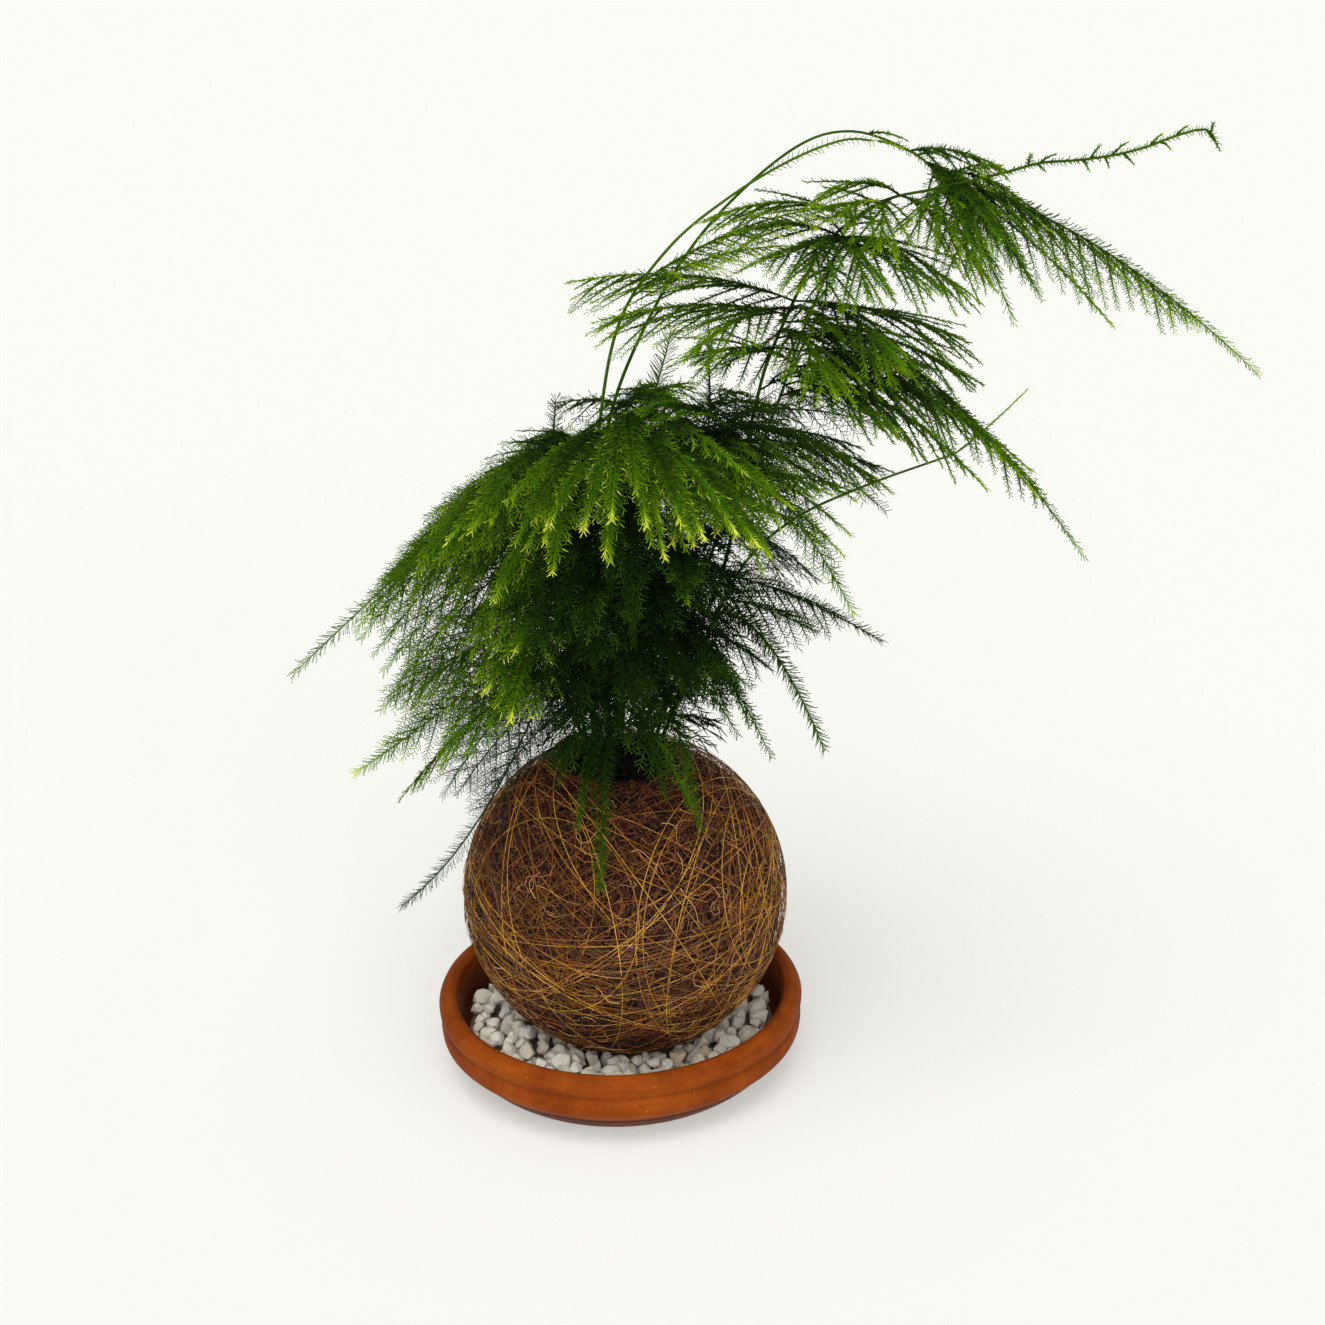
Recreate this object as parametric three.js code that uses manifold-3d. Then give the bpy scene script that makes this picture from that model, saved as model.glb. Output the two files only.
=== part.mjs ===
// Kokedama with an asparagus fern: a soil ball wrapped in coir and wound with thread,
// set on white marble chips in a terracotta saucer. Eighteen leafy stems grow from the
// crown of the ball and arch over it, the longest towards +X.
//
// Millimetres, +Z up. The origin is the centre of the saucer's underside, and the
// viewer of the front stands on the -Y side.

import {
  BufferGeometry,
  CatmullRomCurve3,
  CylinderGeometry,
  Euler,
  Float32BufferAttribute,
  Group,
  LatheGeometry,
  MathUtils,
  Mesh,
  MeshStandardMaterial,
  Quaternion,
  QuadraticBezierCurve3,
  Vector2,
  Vector3,
} from "three";
import { mergeVertices } from "three/addons/utils/BufferGeometryUtils.js";
import Module from "manifold-3d";

const wasm = await Module();
wasm.setup();

// Driving dimensions

const GAP = 0.3; // left between neighbouring pieces
const UP = new Vector3(0, 0, 1);

const SAUCER = {
  segments: 36,
  floor: 10, // thickness of the floor
  // radius and height of the outline, from the foot round the rounded lip to the inner wall
  outline: [
    [67.6, 0],
    [80.6, 13],
    [83.4, 14.4],
    [85.3, 20],
    [85.3, 27],
    [83.4, 32],
    [80.6, 34.2],
    [78.2, 34],
    [77, 32.6],
    [75.4, 22],
    [71.4, 10],
  ],
};

const BALL = {
  centre: new Vector3(4, 0, 85),
  segments: 18,
  outer: 72.6, // radius of the coir under the thread
  wrap: 6.6, // thickness of the coir
  seat: 16.4, // height of the flat spot that the ball rests on
  opening: 23, // radius of the gap in the coir where the stems come out
  soilTop: 147,
  soilGap: 0.42, // between the soil's facets and the coir's
  stepsUp: 6,
};

const CHIPS = {
  bed: 14.8, // height of the joints between the chips
  seat: 22, // radius of the level top under the ball's flat spot
  rings: [38, 49.5, 61, 72.3], // radii of the joints between the rows of chips
  perRow: 27,
  rise: [4.2, 6.6], // of a chip over the joints
  slope: [0.75, 1.1], // of a corner of its top, as a fraction of its rise
  inset: [0.14, 0.34], // of a chip's top, as a fraction of its width
  stray: 1.9, // of a joint's corner from its even place
  foot: 0.975, // of the bed's radius at the saucer's floor, as a fraction of its edge
  seed: 7,
};

const THREAD = {
  radius: 0.75,
  wound: 74.5, // from the ball's centre to the middle of the thread
  segments: 24,
  // tilt of each turn from level, and the heading that it tilts towards, in degrees
  turns: [
    [24, 20],
    [50, 110],
    [60, 185],
    [60, 265],
    [52, 330],
  ],
};

const STEM = {
  foot: 135.4, // height of the cut foot in the soil
  crown: 150, // height up to which a stem is straight and upright
  footRadius: 1.25,
  topRadius: 0.85,
  hole: 2, // radius of its hole in the soil
  holeSides: 5,
  step: 25, // longest plain stretch
  collar: 2.2, // length of the node that a frond grows from
};

const FROND = {
  radius: [0.62, 0.4], // of the rib, at its root and its tip
  collar: 1.3,
  pairSpacing: 37, // between the pairs of branchlets along the rib
  fewestPairs: 3,
  closest: 20, // least spacing of the pairs, also on a short rib
  tuftSpacing: 17, // between the tufts of needles on a shoot with no branchlets
  tuftNeedle: 3.6,
  rootClear: 5, // bare length at the root
  firstPair: 0.2, // as fractions of the rib
  lastPair: 0.84,
  tip: 1.6, // from the last ring of the rib to its point
  archAt: 0.45, // where the rib arches most, as a fraction of the line to its tip
  // a branchlet's share of the frond's width: it swells from the root's share, narrows by
  // a power of what is left of the rib, and ends with a little
  outline: { root: 0.45, swell: 2.6, power: 0.75, end: 0.1 },
  spread: [44, 28], // angle of a branchlet to the rib in degrees, at the root and the tip
  sag: 0.22, // of a branchlet's tip, as a fraction of its length
  sweep: 0.15, // forward bend of a branchlet, as a fraction of its length
};

const BRANCHLET = {
  radius: 0.4,
  collar: 1.0,
  shortest: 6,
  tip: 1.4, // from the last ring of a single one to its point
  single: 16, // from this length on it has a collar of needles below its tip
  longer: 30, // and from this length on, two
  // faces of a collar that grow needles, evenly round it and turned between the collars
  middleNeedles: [1, 3, 4],
  endNeedles: [0, 2, 5],
  taper: 0.25,
  checked: [0.12, 0.4, 0.7, 1], // where its line is tested for room
  margin: 0.1,
  // turns in degrees and shares of the length that are tried until one has room
  tries: [
    [0, 1],
    [10, 0.95],
    [-10, 0.9],
    [0, 0.75],
    [14, 0.7],
    [-12, 0.6],
    [0, 0.5],
  ],
};
const NEEDLE = {
  length: 5.6,
  tipLength: 4.5, // at the point of a rib or branchlet
  lean: 48, // forwards from square to its strand, in degrees
  rod: 0.2, // where its rod starts, as a fraction of its length
  clearRadius: 0.3,
};
const CLEAR = 0.35; // between strands that aren't joined

// The plant. Every stem has its place in the crown, the points that it passes and its
// fronds. A frond has the fraction of the stem where it grows, its tip, how far it
// arches over the straight line to the tip, the length of its longest branchlets and
// its tilt to the level in degrees. A frond at 1 is the stem's own end.

const frond = (at, tip, arch, width, tilt) => ({ at, tip, arch, width, tilt });

const TONES = {
  dark: 0x23441a,
  fresh: 0x4f7d24,
  young: 0x8fae35,
  grey: 0x5d6d58,
};

const STEMS = [
  {
    name: "stem_arch",
    tone: "dark",
    foot: [-1, 7],
    path: [[-3, 8, 200], [0, 6, 262], [4, 4, 314], [24, 8, 361], [49, 12, 397],
      [83, 13, 427], [108, 11, 435], [133, 5, 427], [146, 0, 416]],
    fronds: [
      frond(1, [280, -8, 331], 24, 38, -48),
      frond(0.99, [190, 14, 394], 14, 20, -30),
      frond(0.975, [196, -26, 358], 22, 26, -60),
    ],
  },
  {
    name: "stem_companion",
    tone: "young",
    foot: [-7, -3],
    path: [[-9, -4, 200], [-6, -5, 262], [0, -5, 317], [10, -5, 361], [31, -3, 391],
      [56, -1, 411], [82, 0, 426], [104, 0, 434], [118, -3, 434]],
    fronds: [
      frond(1, [128, -5, 431], 1, 3, 0),
      frond(0.66, [116, -14, 412], 16, 24, -20),
      frond(0.64, [80, -22, 396], 12, 16, -20),
    ],
  },
  {
    name: "stem_long_shoot",
    tone: "dark",
    foot: [13, 8],
    path: [[33, 11, 195], [52, 12, 239], [63, 14, 295], [68, 12, 319], [74, 10, 340],
      [90, 6, 377], [102, 4, 394], [121, 0, 408], [142, -9, 415], [169, -10, 421]],
    fronds: [
      frond(1, [253, -14, 434], -3, 4, 0),
      frond(0.58, [-11, -5, 378], 24, 48, -35),
      frond(0.61, [160, -24, 348], 22, 42, -30),
      frond(0.54, [150, 34, 322], 20, 32, 20),
      frond(0.74, [60, -6, 399], 18, 34, -40),
      frond(0.87, [164, -14, 376], 12, 28, -50),
    ],
  },
  {
    name: "stem_tiers",
    tone: "fresh",
    foot: [15, -3],
    path: [[31, -6, 200], [47, -7, 256], [62, -9, 289], [76, -11, 325], [87, -11, 357],
      [96, -11, 379], [103, -11, 396]],
    fronds: [
      frond(1, [152, -34, 376], 14, 34, -30),
      frond(0.97, [66, -45, 384], 14, 32, -20),
      frond(0.8, [207, -20, 254], 54, 40, -40),
      frond(0.755, [146, -64, 302], 24, 34, -30),
      frond(0.78, [40, -34, 350], 14, 30, -20),
      frond(0.88, [124, -66, 356], 14, 30, -20),
    ],
  },
  {
    name: "stem_bare_shoot",
    tone: "young",
    foot: [15, -9],
    path: [[38, -16, 205], [58, -22, 252], [80, -30, 278], [110, -36, 295], [149, -34, 308]],
    fronds: [frond(1, [179, -30, 334], -2, 2, 0)],
  },
  {
    name: "stem_left",
    tone: "fresh",
    foot: [-10, 2],
    path: [[-16, 2, 200], [-20, 0, 262], [-22, -2, 308]],
    fronds: [
      frond(1, [-138, -18, 208], 24, 34, -35),
      frond(0.93, [-106, -48, 240], 34, 38, -35),
      frond(0.8, [-104, 30, 222], 30, 38, 20),
      frond(0.965, [-90, -34, 270], 20, 34, -25),
    ],
  },
  {
    name: "stem_low_left",
    tone: "fresh",
    foot: [-7, -9],
    path: [[-18, -14, 190], [-30, -20, 236]],
    fronds: [
      frond(1, [-97, -55, 206], 24, 36, -30),
      frond(0.9, [-112, -40, 166], 34, 34, -45),
      frond(0.7, [-72, -70, 186], 30, 34, -30),
      frond(0.8, [-40, -86, 214], 26, 32, -10),
    ],
  },
  {
    name: "stem_grey_left",
    tone: "grey",
    foot: [-9, 10],
    path: [[-22, 16, 180], [-34, 22, 208]],
    fronds: [
      frond(1, [-102, 22, 68], 34, 32, 0),
      frond(0.8, [-94, 44, 148], 28, 34, 0),
      frond(0.6, [-80, 24, 124], 28, 30, 0),
    ],
  },
  {
    name: "stem_dome_front",
    tone: "fresh",
    foot: [3, -6],
    path: [[4, -10, 200], [8, -14, 262], [12, -16, 326]],
    fronds: [
      frond(1, [4, -100, 290], 22, 38, -10),
      frond(0.97, [36, -100, 300], 22, 38, 10),
      frond(0.94, [-34, -92, 296], 24, 36, -20),
      frond(0.9, [68, -80, 284], 28, 36, 20),
    ],
  },
  {
    name: "stem_dome_left",
    tone: "fresh",
    foot: [-3, -12],
    path: [[-8, -16, 200], [-10, -18, 255], [-12, -18, 314]],
    fronds: [
      frond(1, [-52, -84, 298], 16, 36, -20),
      frond(0.96, [-76, -66, 274], 24, 38, -30),
      frond(0.62, [-32, -92, 238], 34, 34, -10),
      frond(0.55, [-4, -90, 240], 32, 32, 10),
    ],
  },
  {
    name: "stem_dome_right",
    tone: "fresh",
    foot: [9, 2],
    path: [[20, 0, 200], [34, -2, 262], [44, -4, 312]],
    fronds: [
      frond(1, [108, -34, 238], 38, 38, 25),
      frond(0.97, [86, -72, 276], 24, 38, 20),
      frond(0.8, [120, 10, 210], 40, 36, 25),
      frond(0.9, [70, 70, 262], 26, 36, -20),
    ],
  },
  {
    name: "stem_right",
    tone: "dark",
    foot: [19, 4],
    path: [[30, 4, 180], [44, 0, 222]],
    fronds: [
      frond(1, [96, -6, 158], 34, 32, 20),
      frond(0.8, [74, 32, 142], 30, 28, -20),
      frond(0.7, [66, -44, 160], 28, 30, 20),
    ],
  },
  {
    name: "stem_front",
    tone: "fresh",
    foot: [1, -16],
    path: [[0, -22, 180], [0, -26, 222]],
    fronds: [
      frond(1, [14, -92, 222], 20, 30, 0),
      frond(0.45, [-5, -86, 134], 34, 22, 0),
      frond(0.8, [24, -78, 172], 28, 26, 10),
      frond(0.7, [-22, -74, 178], 28, 26, -10),
    ],
  },
  {
    name: "stem_front_right",
    tone: "dark",
    foot: [7, -14],
    path: [[14, -22, 175], [26, -32, 212]],
    fronds: [
      frond(1, [60, -84, 196], 20, 30, 10),
      frond(0.8, [38, -86, 162], 26, 24, 15),
      frond(0.9, [76, -50, 182], 24, 30, 15),
    ],
  },
  {
    name: "stem_inner",
    tone: "dark",
    foot: [3, 1],
    path: [[6, 3, 190], [8, 4, 240]],
    fronds: [
      frond(1, [26, -62, 246], 20, 30, 0),
      frond(0.85, [-20, -62, 206], 24, 32, -10),
      frond(0.75, [58, 20, 206], 24, 32, 10),
      frond(0.7, [-20, 56, 196], 24, 32, 10),
    ],
  },
  {
    name: "stem_back",
    tone: "dark",
    foot: [4, 13],
    path: [[8, 24, 200], [14, 34, 260], [18, 38, 312]],
    fronds: [
      frond(1, [30, 110, 290], 24, 38, 0),
      frond(0.965, [-46, 80, 296], 24, 38, -5),
      frond(0.92, [31, 30, 352], -6, 16, 0),
      frond(0.86, [84, 72, 292], 26, 36, -20),
      frond(0.6, [10, 108, 216], 34, 36, 0),
    ],
  },
  {
    name: "stem_back_left",
    tone: "dark",
    foot: [-4, 16],
    path: [[-14, 28, 195], [-24, 34, 250], [-22, 34, 296]],
    fronds: [
      frond(1, [-20, 34, 324], -6, 22, 0),
      frond(0.8, [-92, 74, 206], 32, 38, 20),
      frond(0.65, [-50, 100, 186], 32, 36, 10),
    ],
  },
  {
    name: "stem_back_right",
    tone: "grey",
    foot: [12, 16],
    path: [[26, 28, 195], [40, 38, 250], [48, 36, 305]],
    fronds: [
      frond(1, [48, 34, 354], -8, 20, 0),
      frond(0.85, [128, 50, 252], 36, 38, -20),
      frond(0.7, [84, 88, 196], 32, 36, -10),
    ],
  },
];

// Solids

// A geometry's vertices and triangles, with shared vertices merged and the triangles
// that close up at a lathe's axis left out.
function solidOf(geometry) {
  const bare = new BufferGeometry();
  bare.setIndex(geometry.index);
  bare.setAttribute("position", geometry.getAttribute("position"));
  const merged = mergeVertices(bare, 1e-4);
  const corners = merged.index.array;
  const triVerts = [];
  for (let i = 0; i < corners.length; i += 3) {
    const [a, b, c] = corners.slice(i, i + 3);
    if (a !== b && b !== c && c !== a) triVerts.push(a, b, c);
  }
  return new wasm.Manifold(
    new wasm.Mesh({
      numProp: 3,
      vertProperties: new Float32Array(merged.getAttribute("position").array),
      triVerts: new Uint32Array(triVerts),
    }),
  );
}

function geometryOf(solid) {
  const mesh = solid.getMesh();
  const geometry = new BufferGeometry();
  geometry.setAttribute("position", new Float32BufferAttribute(mesh.vertProperties, 3));
  geometry.setIndex([...mesh.triVerts]);
  geometry.computeVertexNormals();
  return geometry;
}

const union = (solids) => solids.reduce((whole, solid) => whole.add(solid));

// A turned solid round the Z axis from its outline in radius and height.
function turned(outline, segments) {
  const points = outline.map(([radius, height]) => new Vector2(radius, height));
  return new LatheGeometry(points, segments).rotateX(Math.PI / 2);
}

function randomFrom(seed) {
  let state = seed;
  return () => {
    state = (state * 1664525 + 1013904223) % 4294967296;
    return state / 4294967296;
  };
}

function piece(name, geometry, color, roughness) {
  const material = new MeshStandardMaterial({ color, roughness, metalness: 0, flatShading: true });
  const mesh = new Mesh(geometry, material);
  mesh.name = name;
  return mesh;
}

// A skin grown triangle by triangle. Every face runs anticlockwise as seen from
// outside, and a face that grows on is replaced by what grows from its three sides, so
// the skin stays one closed body.
class Skin {
  points = [];
  faces = [];

  add(point) {
    return this.points.push(point) - 1;
  }

  close(face) {
    this.faces.push(face);
  }

  // A face drawn out to a point.
  raise([a, b, c], tip) {
    const apex = this.add(tip);
    this.faces.push([a, b, apex], [b, c, apex], [c, a, apex]);
  }

  middle(face) {
    const sum = face.reduce((total, corner) => total.add(this.points[corner]), new Vector3());
    return sum.divideScalar(face.length);
  }

  geometry() {
    const geometry = new BufferGeometry().setFromPoints(this.points);
    geometry.setIndex(this.faces.flat());
    geometry.computeVertexNormals();
    return geometry;
  }
}

// Saucer

function saucer() {
  const outline = [[0, 0], ...SAUCER.outline, [0, SAUCER.floor]];
  return piece("saucer", turned(outline, SAUCER.segments), 0xa4532b, 0.75);
}

// Ball: both skins of the coir and the soil share one stepped outline, so that they
// stay one gap apart all over.

// Radius and height, about the ball's centre, from a level below it to one above.
function ballOutline(radius, bottom, top) {
  const from = Math.asin(bottom / radius);
  const to = Math.asin(top / radius);
  return Array.from({ length: BALL.stepsUp + 1 }, (_, i) => {
    const angle = MathUtils.lerp(from, to, i / BALL.stepsUp);
    return [radius * Math.cos(angle), radius * Math.sin(angle)];
  });
}

const SEAT = BALL.seat - BALL.centre.z;
const INNER = BALL.outer - BALL.wrap;

function coirWrap() {
  const rimHeight = Math.sqrt(BALL.outer ** 2 - BALL.opening ** 2);
  const innerRim = Math.sqrt(INNER ** 2 - BALL.opening ** 2);
  const outside = ballOutline(BALL.outer, SEAT, rimHeight);
  const inside = ballOutline(INNER, SEAT + BALL.wrap, innerRim).reverse();
  const outline = [[0, SEAT], ...outside, ...inside, [0, SEAT + BALL.wrap]];
  const mesh = piece("coir_wrap", turned(outline, BALL.segments), 0x6b3a1e, 0.95);
  mesh.position.copy(BALL.centre);
  return mesh;
}

function soilBall() {
  const radius = INNER - BALL.soilGap;
  const bottom = SEAT + BALL.wrap + GAP;
  const innerRim = Math.sqrt(INNER ** 2 - BALL.opening ** 2);
  const flat = BALL.soilTop - BALL.centre.z;
  const below = ballOutline(radius, bottom, innerRim).filter(([, height]) => height < flat - 1);
  const rim = [Math.sqrt(radius ** 2 - flat ** 2), flat];
  const outline = [[0, bottom], ...below, rim, [0, flat]];
  const ball = turned(outline, BALL.segments).translate(...BALL.centre);
  const depth = BALL.soilTop - STEM.foot + GAP;
  const holes = STEMS.map(({ foot }) => {
    const hole = new CylinderGeometry(STEM.hole, STEM.hole, 2 * depth, STEM.holeSides);
    return solidOf(hole.rotateX(Math.PI / 2).translate(foot[0], foot[1], BALL.soilTop));
  });
  return piece("soil_ball", geometryOf(solidOf(ball).subtract(union(holes))), 0x2e2118, 1);
}

// Thread: each turn is a closed ring of three-sided thread round the ball.

function threadTurn(tilt, heading) {
  const turn = new Euler(0, MathUtils.degToRad(tilt), MathUtils.degToRad(heading), "ZYX");
  const outline = [0, 120, 240, 360].map((degrees) => {
    const angle = MathUtils.degToRad(degrees);
    return [THREAD.wound + THREAD.radius * Math.cos(angle), THREAD.radius * Math.sin(angle)];
  });
  const ring = turned(outline, THREAD.segments);
  return ring.applyQuaternion(new Quaternion().setFromEuler(turn));
}

function bindingThread() {
  const turns = THREAD.turns.map(([tilt, heading]) => solidOf(threadTurn(tilt, heading)));
  const mesh = piece("binding_thread", geometryOf(union(turns)), 0x9a7a2c, 0.8);
  mesh.position.copy(BALL.centre);
  return mesh;
}

// Chips: one bed whose top is raised into rows of knocked-about chips, kept clear of
// the ball over it.

function marbleChips() {
  const random = randomFrom(CHIPS.seed);
  const between = (low, high) => MathUtils.lerp(low, high, random());
  const skin = new Skin();
  const floor = SAUCER.floor + GAP;
  const last = CHIPS.rings.length - 1;
  const around = (radius, angle, z) => new Vector3(radius * Math.cos(angle), radius * Math.sin(angle), z);
  const joints = CHIPS.rings.map((radius, row) =>
    Array.from({ length: CHIPS.perRow }, (_, i) => {
      const stray = row === last ? 0 : CHIPS.stray;
      const angle = (2 * Math.PI * (i + row / 2)) / CHIPS.perRow + (between(-stray, stray)) / radius;
      return skin.add(around(radius + between(-stray, stray), angle, CHIPS.bed));
    }),
  );
  const under = joints[last].map((corner) => {
    const { x, y } = skin.points[corner];
    return skin.add(new Vector3(x, y, 0).multiplyScalar(CHIPS.foot).setZ(floor));
  });
  const level = BALL.seat - GAP;
  const seat = joints[0].map((_, i) => {
    const angle = (2 * Math.PI * i) / CHIPS.perRow;
    const point = around(CHIPS.seat, angle, level);
    return skin.add(point.setX(point.x + BALL.centre.x));
  });
  const top = skin.add(BALL.centre.clone().setZ(level));
  const bottom = skin.add(new Vector3(0, 0, floor));
  const clearOfBall = (point) => {
    const reach = THREAD.wound + THREAD.radius + 2 * GAP;
    const off = Math.hypot(point.x - BALL.centre.x, point.y);
    return BALL.centre.z - Math.sqrt(reach ** 2 - Math.min(off, reach) ** 2);
  };
  for (let i = 0; i < CHIPS.perRow; i++) {
    const j = (i + 1) % CHIPS.perRow;
    skin.close([top, seat[i], seat[j]]);
    skin.close([seat[i], joints[0][i], joints[0][j]]);
    skin.close([seat[i], joints[0][j], seat[j]]);
    skin.close([bottom, under[j], under[i]]);
    skin.close([under[i], under[j], joints[last][j]]);
    skin.close([under[i], joints[last][j], joints[last][i]]);
    for (let row = 0; row < last; row++) {
      const joint = [joints[row][i], joints[row + 1][i], joints[row + 1][j], joints[row][j]];
      const middle = joint.reduce((sum, k) => sum.add(skin.points[k]), new Vector3()).divideScalar(4);
      const rise = between(...CHIPS.rise);
      const crown = joint.map((k) => {
        const point = skin.points[k].clone().lerp(middle, between(...CHIPS.inset));
        point.z = Math.min(CHIPS.bed + rise * between(...CHIPS.slope), clearOfBall(point));
        return skin.add(point);
      });
      joint.forEach((k, n) => {
        const m = (n + 1) % 4;
        skin.close([k, joint[m], crown[m]]);
        skin.close([k, crown[m], crown[n]]);
      });
      skin.close([crown[0], crown[1], crown[2]]);
      skin.close([crown[0], crown[2], crown[3]]);
    }
  }
  return piece("marble_chips", skin.geometry(), 0xe9e6df, 0.6);
}

// Strands: every stretch of stem, rib, branchlet and needle as a straight rod, so that
// what would touch another one is bent, shortened or left out. Rods of one shoot, or
// from one collar, are joined and don't count as touching.

const strands = [];

function rodsApart(p1, q1, p2, q2) {
  const d1 = q1.clone().sub(p1);
  const d2 = q2.clone().sub(p2);
  const between = p1.clone().sub(p2);
  const a = d1.lengthSq();
  const e = d2.lengthSq();
  const b = d1.dot(d2);
  const c = d1.dot(between);
  const f = d2.dot(between);
  const spread = a * e - b * b;
  let s = spread > 1e-9 ? MathUtils.clamp((b * f - c * e) / spread, 0, 1) : 0;
  const t = MathUtils.clamp((b * s + f) / e, 0, 1);
  s = MathUtils.clamp((b * t - c) / a, 0, 1);
  return p1.clone().addScaledVector(d1, s).distanceTo(p2.clone().addScaledVector(d2, t));
}

function isClear(points, radius, kin) {
  const ballReach = THREAD.wound + THREAD.radius + radius + 4 * GAP;
  return points.slice(1).every((to, i) => {
    const from = points[i];
    const length = from.distanceTo(to);
    if (rodsApart(from, to, BALL.centre, BALL.centre.clone().add(UP)) < ballReach) return false;
    return strands.every((rod) => {
      if (kin.includes(rod.shoot) || kin.includes(rod.collar)) return true;
      const room = radius + rod.radius + CLEAR;
      if (from.distanceTo(rod.from) > room + length + rod.length) return true;
      return rodsApart(from, to, rod.from, rod.to) > room;
    });
  });
}

function keepStrand(points, radius, shoot, collar) {
  points.slice(1).forEach((to, i) => {
    const from = points[i];
    strands.push({ from, to, length: from.distanceTo(to), radius, shoot, collar });
  });
}

// Shoots: three-sided tubes grown from ring to ring. A ring's first corner is on the
// upper face of the shoot, and its corners run anticlockwise about the way it grows.

function station(point, along, face, radius, collar) {
  const unit = along.clone().normalize();
  const square = face.clone().addScaledVector(unit, -face.dot(unit)).normalize();
  return { point, along: unit, face: square, radius, collar };
}

function ringAt(skin, { point, along, face, radius }) {
  const side = along.clone().cross(face);
  return [0, 1, 2].map((corner) => {
    const angle = (2 * Math.PI * corner) / 3;
    const out = face.clone().multiplyScalar(Math.cos(angle));
    out.addScaledVector(side, Math.sin(angle));
    return skin.add(point.clone().addScaledVector(out, radius));
  });
}

// How far a station's ring has to turn so that its corners face those of the face or
// ring that it grows from.
function turnTo(skin, root, { along, face }) {
  const middle = skin.middle(root);
  const side = along.clone().cross(face);
  const sum = new Vector2();
  root.forEach((corner, k) => {
    const out = skin.points[corner].clone().sub(middle);
    const angle = Math.atan2(out.dot(side), out.dot(face)) - (2 * Math.PI * k) / 3;
    sum.add(new Vector2(Math.cos(angle), Math.sin(angle)));
  });
  return sum.angle();
}

// The corners of a root, renumbered so that each faces a corner of the next ring.
function facing(skin, root, at) {
  const shift = Math.round(turnTo(skin, root, at) / ((2 * Math.PI) / 3));
  return root.map((_, k) => root[(k - shift + 3) % 3]);
}

const turnedBy = (at, angle) => ({ ...at, face: at.face.clone().applyAxisAngle(at.along, angle) });

const RIGHT_FRONT = 1;
const UNDER_FRONT = 3;
const LEFT_FRONT = 5;
const RIB_NEEDLES = [0, UNDER_FRONT]; // one above and one below

// The six faces between two rings: on the right, underneath and on the left the face
// nearer the root and then the one nearer the tip.
function sleeve([a0, a1, a2], [b0, b1, b2]) {
  return [
    [a0, a1, b0],
    [a1, b1, b0],
    [a1, a2, b1],
    [a2, b2, b1],
    [a2, a0, b0],
    [a2, b0, b2],
  ];
}

// Grows from a root, which is a ring or a face, through the stations to a point.
function growShoot(skin, root, stations, tip, bristleTip) {
  let from = root;
  stations.forEach((at) => {
    const to = ringAt(skin, at);
    from = facing(skin, from, at);
    const faces = sleeve(from, to);
    if (at.collar) at.collar(faces, at);
    else faces.forEach((face) => skin.close(face));
    from = to;
  });
  const apex = skin.add(tip);
  const last = stations.at(-1);
  [0, 1, 2].forEach((k) => bristleTip([from[k], from[(k + 1) % 3], apex], last));
}

// A needle drawn out of a face of a collar, if it has room.
function bristle(skin, face, at, length, kin) {
  const root = skin.middle(face);
  const out = root.clone().sub(at.point);
  out.addScaledVector(at.along, -out.dot(at.along)).normalize();
  const lean = MathUtils.degToRad(NEEDLE.lean);
  const way = out.multiplyScalar(Math.cos(lean)).addScaledVector(at.along, Math.sin(lean));
  const tip = root.clone().addScaledVector(way, length);
  const rod = [root.clone().addScaledVector(way, NEEDLE.rod * length), tip];
  if (!isClear(rod, NEEDLE.clearRadius, kin)) {
    skin.close(face);
    return;
  }
  keepStrand(rod, NEEDLE.clearRadius, `needle ${strands.length}`, kin.at(-1));
  skin.raise(face, tip);
}

// Fronds

const stemCurve = ({ foot, path }) => {
  const [x, y] = foot;
  const points = [[x, y, STEM.crown], ...path].map((point) => new Vector3(...point));
  return new CatmullRomCurve3(points, false, "catmullrom", 0.5);
};

function ribCurve(base, { tip, arch }) {
  const end = new Vector3(...tip);
  const middle = base.clone().lerp(end, FROND.archAt).addScaledVector(UP, arch);
  return new QuadraticBezierCurve3(base, middle, end);
}

// The rib's ways at a fraction of its length: along it, to its left in the frond's
// plane, and out of that plane.
function ribFrame(curve, tilt, t) {
  const along = curve.getTangent(t);
  const chord = curve.v2.clone().sub(curve.v0);
  const level = new Vector3(-chord.y, chord.x, 0);
  level.addScaledVector(along, -level.dot(along)).normalize();
  const left = level.applyAxisAngle(along, MathUtils.degToRad(tilt));
  return { along, left, face: along.clone().cross(left) };
}

// A branchlet's line: off to one side, then sweeping forwards and sagging.
function branchletPoint({ base, out, bend, length }, k) {
  return base.clone().addScaledVector(out, length * k).addScaledVector(bend, length * k * k);
}

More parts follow.
